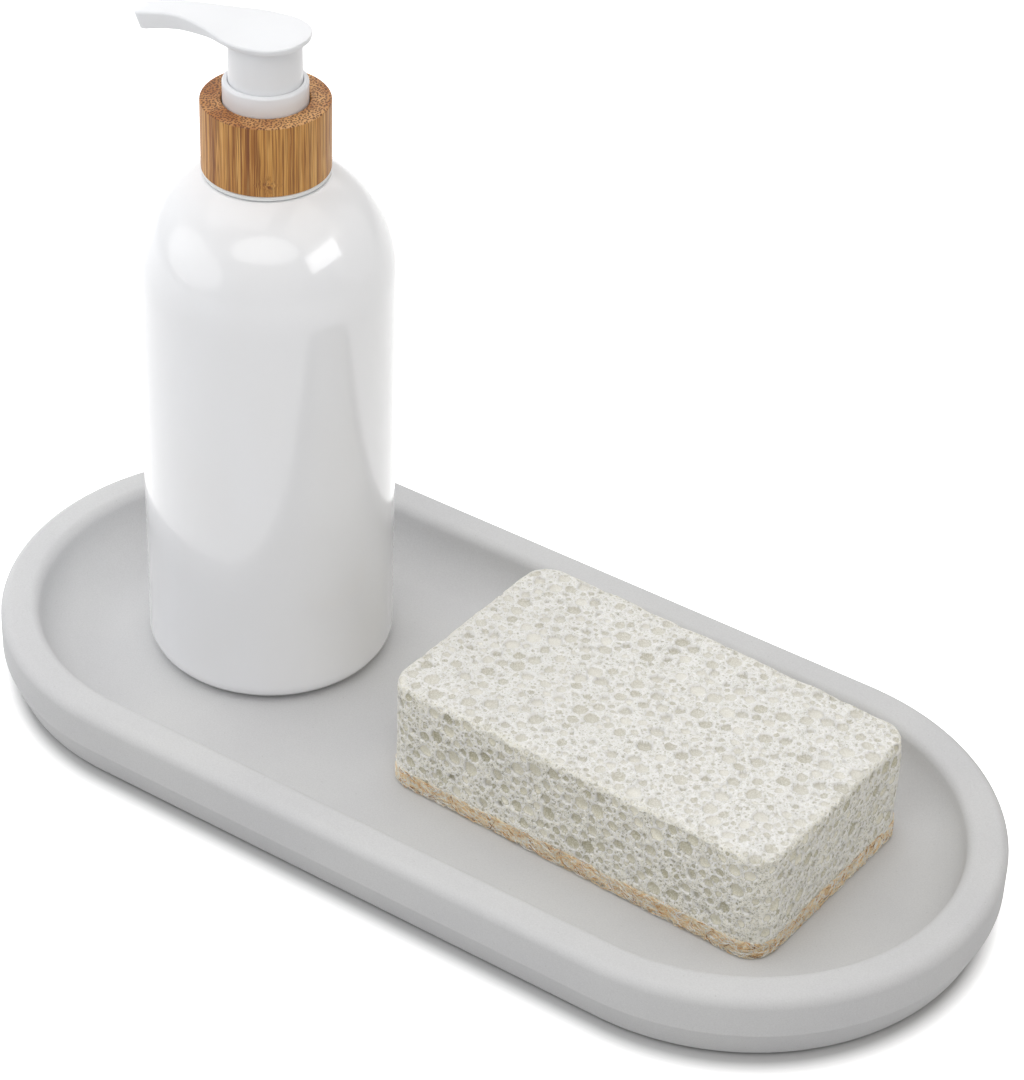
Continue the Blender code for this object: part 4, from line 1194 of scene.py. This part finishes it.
def head_ring(station):
    """One upright cross-section of the head, as points round its edge."""
    along_share, width_share, top_share, depth_share = station
    along = (HEAD_REAR + SPOUT_REACH) * along_share - HEAD_REAR
    half = HEAD_HALF_WIDTH * width_share
    top = HEAD_TOP - SKIRT_BOTTOM + HEAD_SADDLE * top_share
    depth = SPOUT_DEPTH * depth_share
    edge = min(HEAD_EDGE_ROUND, depth / 3, half / 2)
    under = min(HEAD_UNDER_ROUND, depth / 3, half / 3)
    low_half = half * (1 - SPOUT_SIDE_DRAFT_SHARE * depth_share)
    corners = (
        (-half, top, edge),
        (-low_half, top - depth, under),
        (low_half, top - depth, under),
        (half, top, edge),
    )
    near_tip = max(0.0, (along - SPOUT_REACH + SPOUT_SLANT_LENGTH) / SPOUT_SLANT_LENGTH)
    ring = []
    for across, height in rounded(corners, HEAD_ROUND_STEPS):
        pulled_back = SPOUT_TIP_SLANT * near_tip**2 * (top - height) / SPOUT_DEPTH
        ring.append((along - pulled_back, across, height))
    return ring


def channel_ring(station):
    """One upright cross-section of the bore that carries soap to the tip."""
    along_share, drop_share, radius_share = station
    along = CHANNEL_START + (SPOUT_REACH + CHANNEL_OVERRUN - CHANNEL_START) * along_share
    height = HEAD_TOP - SKIRT_BOTTOM - SPOUT_DEPTH * drop_share
    radius = CHANNEL_RADIUS * radius_share
    return [
        (along, radius * cosine, height + radius * sine) for cosine, sine in circle(CHANNEL_SIDES)
    ]


def make_head(finish):
    """The disc and spout, joined to the skirt, then hollowed for the stem's socket and the soap."""
    top = HEAD_TOP - SKIRT_BOTTOM
    socket_outer = SOCKET_BORE + SOCKET_WALL
    post = (
        (0, 0),
        (SKIRT_LOW_RADIUS, 0),
        (SKIRT_TOP_RADIUS, top - HEAD_EDGE_ROUND),
        (0, top - HEAD_EDGE_ROUND),
    )
    hollow = (
        (0, -CUT_OVERRUN),
        (SKIRT_TOP_RADIUS - SKIRT_WALL, -CUT_OVERRUN),
        (SKIRT_TOP_RADIUS - SKIRT_WALL, top - SKIRT_ROOF),
        (socket_outer, top - SKIRT_ROOF),
        (socket_outer, SOCKET_LIFT),
        (SOCKET_BORE, SOCKET_LIFT),
        (SOCKET_BORE, top - SOCKET_ROOF),
        (0, top - SOCKET_ROOF),
    )
    stations = smooth_stations(HEAD_STATION_SHARES, HEAD_RINGS_PER_STATION)
    channel = smooth_stations(CHANNEL_STATION_SHARES, HEAD_RINGS_PER_STATION)
    tools = [
        (turned(post, PUMP_SEGMENTS), "UNION"),
        (turned(hollow, PUMP_SEGMENTS), "DIFFERENCE"),
        (bridged([channel_ring(station) for station in channel]), "DIFFERENCE"),
    ]
    whole = bridged([head_ring(station) for station in stations])
    mesh = shaped(whole, "pump_top", tools, HEAD_CREASE_DEGREES)
    place = (AXIS_X, AXIS_Y, SKIRT_BOTTOM)
    add_piece(
        "pump_top", mesh, finish, "head", ["pump_head"], at=place, turn=HEAD_YAW
    )


# Sponge

def unit(vectors):
    """The same directions, each of length 1."""
    lengths = np.linalg.norm(vectors, axis=-1, keepdims=True)
    return vectors / np.maximum(lengths, NEVER_ZERO)


def rounded_corners(plan, half, radius):
    """Points of a square-cornered sheet drawn in so that its corners are round."""
    inner = half - radius
    over = np.maximum(np.abs(plan) - inner, 0.0)
    a, b = over[:, 0], over[:, 1]
    far = np.maximum(np.maximum(a, b), NEVER_ZERO)
    turn = np.where(a >= b, math.pi / 4 * b / far, math.pi / 2 - math.pi / 4 * a / far)
    arc = far[:, None] * np.stack([np.cos(turn), np.sin(turn)], 1)
    corner = ((a > 0) & (b > 0))[:, None]
    return np.sign(plan) * np.where(corner, inner + arc, np.abs(plan))


def depth_inside(plan, half, radius):
    """How far each point lies inside a round-cornered outline, and the way out of it."""
    past = np.abs(plan) - (half - radius)
    outside = np.maximum(past, 0.0)
    length = np.linalg.norm(outside, axis=1)
    depth = radius - length - np.minimum(past.max(1), 0.0)
    straight = np.eye(2)[past.argmax(1)]
    way = np.where(length[:, None] > 0, unit(outside), straight)
    return depth, way * np.where(plan < 0, -1.0, 1.0)


def foam_skin(thick):
    """Points, outward directions, edge shares and faces of the foam before its bubbles."""
    half = np.array(SPONGE_HALF)
    counts = [round(2 * size / FOAM_STEP) for size in half]
    rows = round(thick / FOAM_STEP)
    across = np.linspace(-half[0], half[0], counts[0] + 1)
    deep = np.linspace(-half[1], half[1], counts[1] + 1)
    sheet = np.stack(np.meshgrid(across, deep, indexing="ij"), -1).reshape(-1, 2)
    index = np.arange(len(sheet)).reshape(counts[0] + 1, counts[1] + 1)
    rim = np.concatenate([index[:-1, 0], index[-1, :-1], index[:0:-1, -1], index[0, :0:-1]])
    plan = np.concatenate([sheet] + [sheet[rim]] * rows)
    plan = rounded_corners(plan, half, SPONGE_CORNER)
    drop = np.concatenate([np.zeros(len(sheet)), np.repeat(np.arange(1, rows + 1), len(rim))])
    height = thick - drop * thick / rows

    depth, way = depth_inside(plan, half, SPONGE_CORNER)
    ease = SPONGE_EDGE_ROUND
    depth = np.where(drop > 0, 0.0, depth)
    core = plan - way * np.maximum(ease - depth, 0.0)[:, None]
    core_height = np.minimum(height, thick - ease)
    outward = unit(np.concatenate([plan - core, (height - core_height)[:, None]], 1))
    points = np.concatenate([core, core_height[:, None]], 1) + outward * ease
    edge = np.clip(1.0 - np.maximum(depth, thick - height) / (2 * ease), 0.0, 1.0)

    squares = [index[:-1, :-1], index[1:, :-1], index[1:, 1:], index[:-1, 1:]]
    faces = np.stack(squares, -1).reshape(-1, 4)
    levels = [rim] + [len(sheet) + row * len(rim) + np.arange(len(rim)) for row in range(rows)]
    bands = [
        np.stack([low, np.roll(low, -1), np.roll(high, -1), high], -1)
        for high, low in zip(levels, levels[1:])
    ]
    quads = np.concatenate([faces] + bands).tolist()
    return points, outward, edge, quads + [levels[-1][::-1].tolist()]


def swell(points, wavelength, seed):
    """A smooth random height over points, mostly between -1 and 1, from crossing waves."""
    draw = np.random.default_rng(seed)
    ways = unit(draw.normal(size=(SWELL_WAVES, 3)))
    lengths = wavelength * draw.uniform(*SWELL_SPREAD, SWELL_WAVES)
    phases = draw.uniform(0, math.tau, SWELL_WAVES)
    waves = np.sin(points @ (ways.T * math.tau / lengths) + phases)
    return waves.sum(1) / math.sqrt(SWELL_WAVES)


def bubbles(thick):
    """Centres and radii of the bubbles that the foam's surface cuts, none far into another."""
    draw = np.random.default_rng(BUBBLE_SEED)
    radii = BUBBLE_RADIUS * np.exp(draw.normal(0.0, BUBBLE_SPREAD, BUBBLE_TRIES))
    radii = np.sort(np.clip(radii, BUBBLE_LEAST, BUBBLE_MOST))[::-1]
    half = np.array([*SPONGE_HALF, thick / 2])
    centres = draw.uniform(-1.0, 1.0, (BUBBLE_TRIES, 3)) * (half + BUBBLE_MOST)
    past = np.abs(centres) - half
    past[:, 2] = np.where(centres[:, 2] < 0, -half[2], past[:, 2])
    from_skin = np.where(past.max(1) > 0, np.linalg.norm(np.maximum(past, 0), axis=1), past.max(1))
    above_seam = centres[:, 2] + half[2] > radii + SEAM_MARGIN
    by_edge = (np.sort(past, axis=1)[:, 1] > -radii) & (radii > BUBBLE_EDGE_MOST)
    cuts_skin = (from_skin > -radii) & (from_skin < BUBBLE_OUTSIDE_SHARE * radii)
    wanted = cuts_skin & above_seam & ~by_edge
    centres, radii = centres[wanted], radii[wanted]
    kept = np.empty(0, int)
    for index, (centre, radius) in enumerate(zip(centres, radii)):
        gaps = np.linalg.norm(centres[kept] - centre, axis=1) - BUBBLE_ROOM * (radii[kept] + radius)
        if not len(kept) or gaps.min() >= 0:
            kept = np.append(kept, index)
    return centres[kept] + np.array([0.0, 0.0, half[2]]), radii[kept]


def carve_bubbles(points, outward, thick):
    """How deep each point sinks into a bubble, that bubble's shade, and the shift onto a rim."""
    tree = kdtree.KDTree(len(points))
    for index, point in enumerate(points):
        tree.insert(point, index)
    tree.balance()
    draw = np.random.default_rng(BUBBLE_SHADE_SEED)
    sunk, shade = np.zeros(len(points)), np.zeros(len(points))
    shift = np.zeros_like(points)
    nearest = np.full(len(points), RIM_SNAP)
    shifts = [swell(points, BUBBLE_WARP_LENGTH, seed) for seed in BUBBLE_WARP_SEEDS]
    warp = BUBBLE_WARP * np.stack(shifts, 1)
    for centre, radius in zip(*bubbles(thick)):
        reach = radius + 2 * RIM_SNAP + 3 * BUBBLE_WARP
        near = np.array([index for _, index, _ in tree.find_range(centre, reach)])
        if not len(near):
            continue
        away = points[near] + warp[near] - centre
        rise = (away * outward[near]).sum(1)
        level = away - rise[:, None] * outward[near]
        across = np.maximum(np.linalg.norm(level, axis=1), NEVER_ZERO)
        opening = np.sqrt(np.maximum(radius**2 - rise**2, 0.0))
        past_rim = across - opening
        inside = (past_rim < -RIM_SNAP / 2) & (opening > 0)
        depth = np.maximum(rise + np.sqrt(np.maximum(radius**2 - across**2, 0.0)), 0.0)
        most = BUBBLE_DEPTH_SHARE * radius
        depth = np.where(inside, most * (1.0 - np.exp(-depth / most)), 0.0)
        deeper = near[depth > sunk[near]]
        shade[deeper] = draw.random()
        sunk[near] = np.maximum(sunk[near], depth)
        on_rim = (opening > RIM_SNAP) & ~inside & (np.abs(past_rim) < nearest[near])
        chosen = near[on_rim]
        nearest[chosen] = np.abs(past_rim[on_rim])
        shift[chosen] = -level[on_rim] * (past_rim / across)[on_rim, None]
    shift[sunk > 0] = 0.0
    return sunk, shade, shift


def add_layer(name, points, faces, painted, finish, node, base):
    """Adds a layer of the sponge. Its points carry the numbers that its finish reads."""
    mesh = bpy.data.meshes.new(name)
    mesh.from_pydata(points.tolist(), [], faces)
    mesh.shade_smooth()
    for title, numbers in painted.items():
        attribute = mesh.attributes.new(title, "FLOAT", "POINT")
        attribute.data.foreach_set("value", np.asarray(numbers, np.float32))
    place = (SPONGE_X, SPONGE_Y, base)
    return add_piece(name, mesh, finish, "sponge", [node], at=place, turn=SPONGE_YAW)


def make_foam(finish):
    """The foam: its skin sinks where bubbles open it, and crumbs and slow lumps roughen it."""
    base = FOAM_LOW.z - FOAM_SINK
    thick = FOAM_HIGH.z - base
    points, outward, edge, faces = foam_skin(thick)
    sunk, shade, shift = carve_bubbles(points, outward, thick)
    on_rim = np.linalg.norm(shift, axis=1) > 0
    draw = np.random.default_rng(CRUMB_SEED)
    chance, amount = draw.random(len(points)), draw.random(len(points))
    crumb = np.where((sunk == 0) & (chance < CRUMB_SHARE) & ~on_rim, amount**2, 0.0)
    slow, quick = (swell(points, *wave) for wave in zip(FOAM_SWELL_LENGTHS, FOAM_SWELL_SEEDS))
    lumps = FOAM_SWELL * (slow + 0.5 * quick)
    inward = sunk + CRUMB_DEPTH * crumb + FOAM_SWELL - lumps
    places = points + shift - outward * inward[:, None]
    painted = {
        "pore": 1.0 - np.exp(-sunk / PORE_FADE),
        "pore_shade": shade,
        # crumb: where the finish paints shade in the crumbs' pits
        "crumb": crumb,
        "edge": edge * (sunk == 0),
        # rim: points on a bubble's lip, where the finish paints a highlight
        "rim": on_rim,
        # side: where the finish paints the side walls lighter and the pores on them darker as
        # painted shade
        "side": 1.0 - np.clip(outward[:, 2], 0.0, 1.0),
    }
    foam = add_layer(
        "foam_block", places, faces, painted, finish, "sponge_foam", base
    )


def outline_track():
    """The sponge's outline as a line to follow: distances along it, places and ways out."""
    ring = rounded_rectangle(*SPONGE_HALF, SPONGE_CORNER, 0.0, TRACK_CORNER_STEPS)
    line = np.array([point.to_tuple() for point in ring + ring[:1]])
    steps = np.linalg.norm(np.diff(line, axis=0), axis=1)
    drawn_in = line * (1 - TRACK_DRAW_IN)
    _, ways = depth_inside(drawn_in, np.array(SPONGE_HALF), SPONGE_CORNER)
    return np.concatenate([[0.0], np.cumsum(steps)]), line, ways


def strand_mesh(lines, outward, radii):
    """Points and faces of tapered strands along lines, which are (strand, step, axis)."""
    side = unit(np.cross(unit(np.gradient(lines, axis=1)), outward))
    count, steps = lines.shape[:2]
    taper = np.sin(np.linspace(STRAND_END_ANGLE, math.pi - STRAND_END_ANGLE, steps)) ** 0.5
    thick = radii[:, None] * taper[None, :]
    rings = []
    for corner in range(STRAND_SIDES):
        angle = math.tau * corner / STRAND_SIDES + math.pi / 2
        offset = math.cos(angle) * side + math.sin(angle) * outward
        rings.append(lines + thick[:, :, None] * offset)
    index = np.arange(count * steps * STRAND_SIDES).reshape(count, steps, STRAND_SIDES)
    following = np.roll(index, -1, axis=2)
    quads = np.stack([index[:, :-1], following[:, :-1], following[:, 1:], index[:, 1:]], -1)
    faces = quads.reshape(-1, 4).tolist() + index[:, 0, ::-1].tolist() + index[:, -1].tolist()
    return np.stack(rings, 2).reshape(-1, 3), faces


def side_strands(draw, low, high):
    """Strands that lie along the pad's side, a little proud of it."""
    lengths, line, ways = outline_track()
    count = SIDE_STRANDS
    share = np.linspace(-0.5, 0.5, STRAND_STEPS)[None, :]
    size = draw.uniform(*SIDE_STRAND_LENGTHS, count)[:, None]
    lean = draw.normal(0.0, SIDE_STRAND_LEAN, count)[:, None]
    bow = draw.normal(0.0, SIDE_STRAND_BOW, count)[:, None]
    start = draw.uniform(0.0, lengths[-1], count)[:, None]
    level = draw.uniform(low, high, count)[:, None]
    along = (start + size * share * np.cos(lean)) % lengths[-1]
    height = level + size * (share * np.sin(lean) + bow * (share**2 - STRAND_BOW_MIDDLE))
    height = low + np.abs(height - low)
    height = high - np.abs(high - height)
    proud = draw.uniform(*SIDE_STRAND_PROUD, count)[:, None] - SIDE_STRAND_DIP * share**2
    out, plan = (
        np.stack([np.interp(along, lengths, column) for column in table.T], -1)
        for table in (ways, line)
    )
    plan = plan + out * proud[:, :, None]
    lines = np.concatenate([plan, height[:, :, None]], 2)
    outward = np.concatenate([out, np.zeros_like(height)[:, :, None]], 2)
    return lines, outward


def under_strands(draw, low):
    """Strands that lie every way on the pad's underside."""
    count = UNDER_STRANDS
    half = np.array(SPONGE_HALF) - SPONGE_CORNER / 4
    share = np.linspace(-0.5, 0.5, STRAND_STEPS)[None, :, None]
    size = draw.uniform(*UNDER_STRAND_LENGTHS, count)[:, None, None]
    heading = draw.uniform(0.0, math.tau, count)
    way = np.stack([np.cos(heading), np.sin(heading)], -1)[:, None, :]
    across = np.stack([-np.sin(heading), np.cos(heading)], -1)[:, None, :]
    bow = draw.normal(0.0, UNDER_STRAND_BOW, count)[:, None, None]
    middle = (draw.uniform(-1.0, 1.0, (count, 2)) * half)[:, None, :]
    plan = middle + size * (way * share + across * bow * (share**2 - STRAND_BOW_MIDDLE))
    inside = np.clip(plan, -half, half).reshape(-1, 2)
    plan = rounded_corners(inside, half, SPONGE_CORNER).reshape(plan.shape)
    proud = draw.uniform(*UNDER_STRAND_PROUD, count)[:, None, None]
    height = low + proud + UNDER_STRAND_DIP * share**2
    lines = np.concatenate([plan, np.broadcast_to(height, plan.shape[:2] + (1,))], 2)
    outward = np.zeros_like(lines)
    outward[:, :, 2] = -1.0
    return lines, outward


def make_scour(finish):
    """The scouring layer: a felted core with loose strands over its side and underside."""
    base = SCOUR_LOW.z
    thick = SCOUR_HIGH.z - base
    inset = 2 * SCOUR_SWELL
    profile = [Vector((SPONGE_CORNER / 2, inset)), Vector((3 * inset, inset))]
    for row in range(1, SCOUR_ROWS + 1):
        profile.append(Vector((inset, inset + (thick - inset) * row / SCOUR_ROWS)))
    core = stacked(*SPONGE_HALF, SPONGE_CORNER, profile, SCOUR_CORNER_STEPS)
    long_edges = [edge for edge in core.edges if edge.calc_length() > SCOUR_LONG_EDGE]
    long_edges = [edge for edge in long_edges if len(edge.link_faces) == 2]
    bmesh.ops.subdivide_edges(core, edges=long_edges, cuts=SCOUR_EDGE_CUTS)
    core.verts.ensure_lookup_table()
    core_points = np.array([vert.co.to_tuple() for vert in core.verts])
    faces = [[vert.index for vert in face.verts] for face in core.faces]
    core.free()
    felt = SCOUR_SWELL * swell(core_points, SCOUR_SWELL_LENGTH, SCOUR_SWELL_SEED)
    core_points[:, :2] *= 1 + (felt / SPONGE_HALF[1])[:, None]

    draw = np.random.default_rng(STRAND_SEED)
    margin = STRAND_RADII[1]
    groups = [side_strands(draw, margin, thick + SEAM_REACH), under_strands(draw, margin)]
    points, shades = [core_points], [np.full(len(core_points), CORE_SHADE)]
    for lines, outward in groups:
        radii = draw.uniform(*STRAND_RADII, len(lines))
        strand_points, strand_faces = strand_mesh(lines, outward, radii)
        offset = sum(len(group) for group in points)
        faces += [[corner + offset for corner in face] for face in strand_faces]
        points.append(strand_points)
        shade = draw.beta(*STRAND_SHADE_BETA, len(lines))
        shades.append(np.repeat(shade, STRAND_STEPS * STRAND_SIDES))
    points, painted = np.concatenate(points), {"shade": np.concatenate(shades)}
    scour = add_layer(
        "scour_layer", points, faces, painted, finish, "scour_pad", base
    )


# Hidden pieces

def finish_hidden(finishes):
    """Gives the hidden pieces, which keep their solids, their finishes."""
    for finish, nodes in finishes.items():
        for name in nodes:
            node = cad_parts[name]
            node.data.materials.clear()
            node.data.materials.append(finish)


# Stage, light and camera

def seen_directly(nodes):
    """1 for the rays that show the background: to the camera, by reflection or through glass."""
    path = nodes.node("ShaderNodeLightPath")
    rays = ("Is Camera Ray", "Is Glossy Ray", "Is Transmission Ray")
    total, *others = nodes.outputs_of(path, rays)
    for share in others:
        total = nodes.node("ShaderNodeMath", {"operation": "MAXIMUM"}, {0: total, 1: share})
    return total


def make_table():
    """A plain white table top. Seen directly it glows up to white as painted light, except in a
    band round the tray, shifted to its front and right, where its real shade shows and the band's
    shape paints the shadow.
    """
    half = TABLE_HALF
    mesh = bpy.data.meshes.new("table_top")
    corners = [(-half, -half, 0), (half, -half, 0), (half, half, 0), (-half, half, 0)]
    mesh.from_pydata(corners, [], [(0, 1, 2, 3)])
    tint = (TABLE_TONE, TABLE_TONE, TABLE_TONE, 1.0)
    table = Finish("table_white", Roughness=0.9, Specular_IOR_Level=0.0, Base_Color=tint)
    table.shader.inputs["Emission Strength"].default_value = TABLE_GLOW
    x, y, _ = table.parts_of(table.place())
    half_x, half_y = (TRAY_HIGH.x - TRAY_LOW.x) / 2, (TRAY_HIGH.y - TRAY_LOW.y) / 2
    # The band without glow is moved to the tray's front and right, where it paints the tray's
    # shadow.
    x, y = x - TABLE_SHADE_SHIFT[0], y - TABLE_SHADE_SHIFT[1]
    past_straight = table.between(abs(x), half_x - half_y, half, 0.0, half - half_x + half_y)
    from_tray = (past_straight**2 + y**2) ** 0.5 - half_y
    clear = table.between(from_tray, *TABLE_SHADE_REACH)
    shown = seen_directly(table) * clear
    table.feed("Emission Color", table.mix(shown, tone(0, 0, 0), tone(255, 255, 255)))
    mesh.materials.append(table.material)
    top = bpy.data.objects.new("table_top", mesh)
    bpy.context.scene.collection.objects.link(top)


def make_sky():
    """Even soft light from all round. Seen directly it is plain white."""
    world = bpy.data.worlds.new("studio")
    bpy.context.scene.world = world
    world.use_nodes = True
    sky = Nodes(world.node_tree)
    sky.tree.nodes.remove(sky.tree.nodes["Background"])
    white = tone(255, 255, 255)
    glow, plain = (
        sky.node("ShaderNodeBackground", sockets={"Color": white, "Strength": strength})
        for strength in (SKY_STRENGTH, 1.0)
    )
    mixed = sky.node("ShaderNodeMixShader", sockets={0: seen_directly(sky), 1: glow, 2: plain})
    sky.tree.links.new(mixed.socket, sky.tree.nodes["World Output"].inputs["Surface"])


def direction(azimuth, elevation):
    """The way to an azimuth, counterclockwise from +X, and an elevation, both in degrees."""
    turn, rise = math.radians(azimuth), math.radians(elevation)
    flat = math.cos(rise)
    return Vector((math.cos(turn) * flat, math.sin(turn) * flat, math.sin(rise)))


def soft_box(name, azimuth, elevation, distance, size, brightness, colour, aim):
    """A flat lamp that faces its aim. Brightness is that of its face, where 1 is white."""
    wide, high = size
    data = bpy.data.lights.new(name, "AREA")
    data.shape = "RECTANGLE"
    data.size, data.size_y = wide, high
    data.energy = LAMP_WATTS * wide * high * brightness
    data.color = colour
    lamp = bpy.data.objects.new(name, data)
    way = direction(azimuth, elevation)
    lamp.location = aim + way * distance
    lamp.rotation_euler = way.to_track_quat("Z", "Y").to_euler()
    lamp.visible_camera = False
    bpy.context.scene.collection.objects.link(lamp)
    return lamp


def make_lights():
    """The soft lamps, then the ones that show only as highlights on the bottle."""
    tray_middle = Vector((0.0, 0.0, 0.0))
    for name, (*place, size, brightness, tint, in_gloss) in SOFT_BOXES.items():
        lamp = soft_box(name, *place, size, brightness, tint, tray_middle)
        lamp.visible_glossy = in_gloss
    shoulder = Vector((AXIS_X, AXIS_Y, SHOULDER_CENTRE))
    for name, (*way, size, brightness, rings) in GLOSS_CARDS.items():
        place = (*way, GLOSS_CARD_DISTANCE)
        for ring in range(rings):
            share = 1.0 - GLOSS_CARD_EDGE_SHARE * ring / rings
            ring_size = (size[0] * share, size[1] * share)
            title = f"{name}_{ring + 1}"
            lamp = soft_box(title, *place, ring_size, brightness / rings, PLAIN, shoulder)
            lamp.data.shape = "ELLIPSE" if rings > 1 else "RECTANGLE"
            lamp.visible_diffuse = False


def make_camera():
    """The camera of the photo's view, placed by angles about the point that it looks at."""
    data = bpy.data.cameras.new("camera")
    data.sensor_width = FILM_LONG_SIDE_MM
    data.lens = CAMERA_LENS_MM
    data.clip_start, data.clip_end = CAMERA_CLIP
    camera = bpy.data.objects.new("camera", data)
    back = direction(CAMERA_AZIMUTH - 90, CAMERA_ELEVATION)
    camera.location = CAMERA_TARGET + back * CAMERA_DISTANCE
    facing = back.to_track_quat("Z", "Y").to_matrix()
    roll = Matrix.Rotation(math.radians(CAMERA_ROLL), 3, back)
    camera.rotation_euler = (roll @ facing).to_euler()
    bpy.context.scene.collection.objects.link(camera)
    bpy.context.scene.camera = camera


bpy.context.scene.view_settings.view_transform = "Standard"
make_camera()
make_table()
make_sky()
make_lights()

stone = pale_stone()
rubber = clear_rubber()
gloss = gloss_white()
white = pump_white()
milky = natural_plastic()
steel = spring_steel()
make_tray(stone)
make_feet(rubber)
make_bottle(gloss)
make_sleeve(bamboo())
make_liner(milky)
make_guide(white)
make_spring(steel)
make_head(white)
make_foam(cellulose_foam())
make_scour(scour_fibre())
finish_hidden(
    {
        milky: ["pump_housing", "dip_tube", "pump_stem", "stem_plug"],
        seal_rubber(): ["neck_gasket", "piston_seal"],
        steel: ["check_ball"],
    }
)
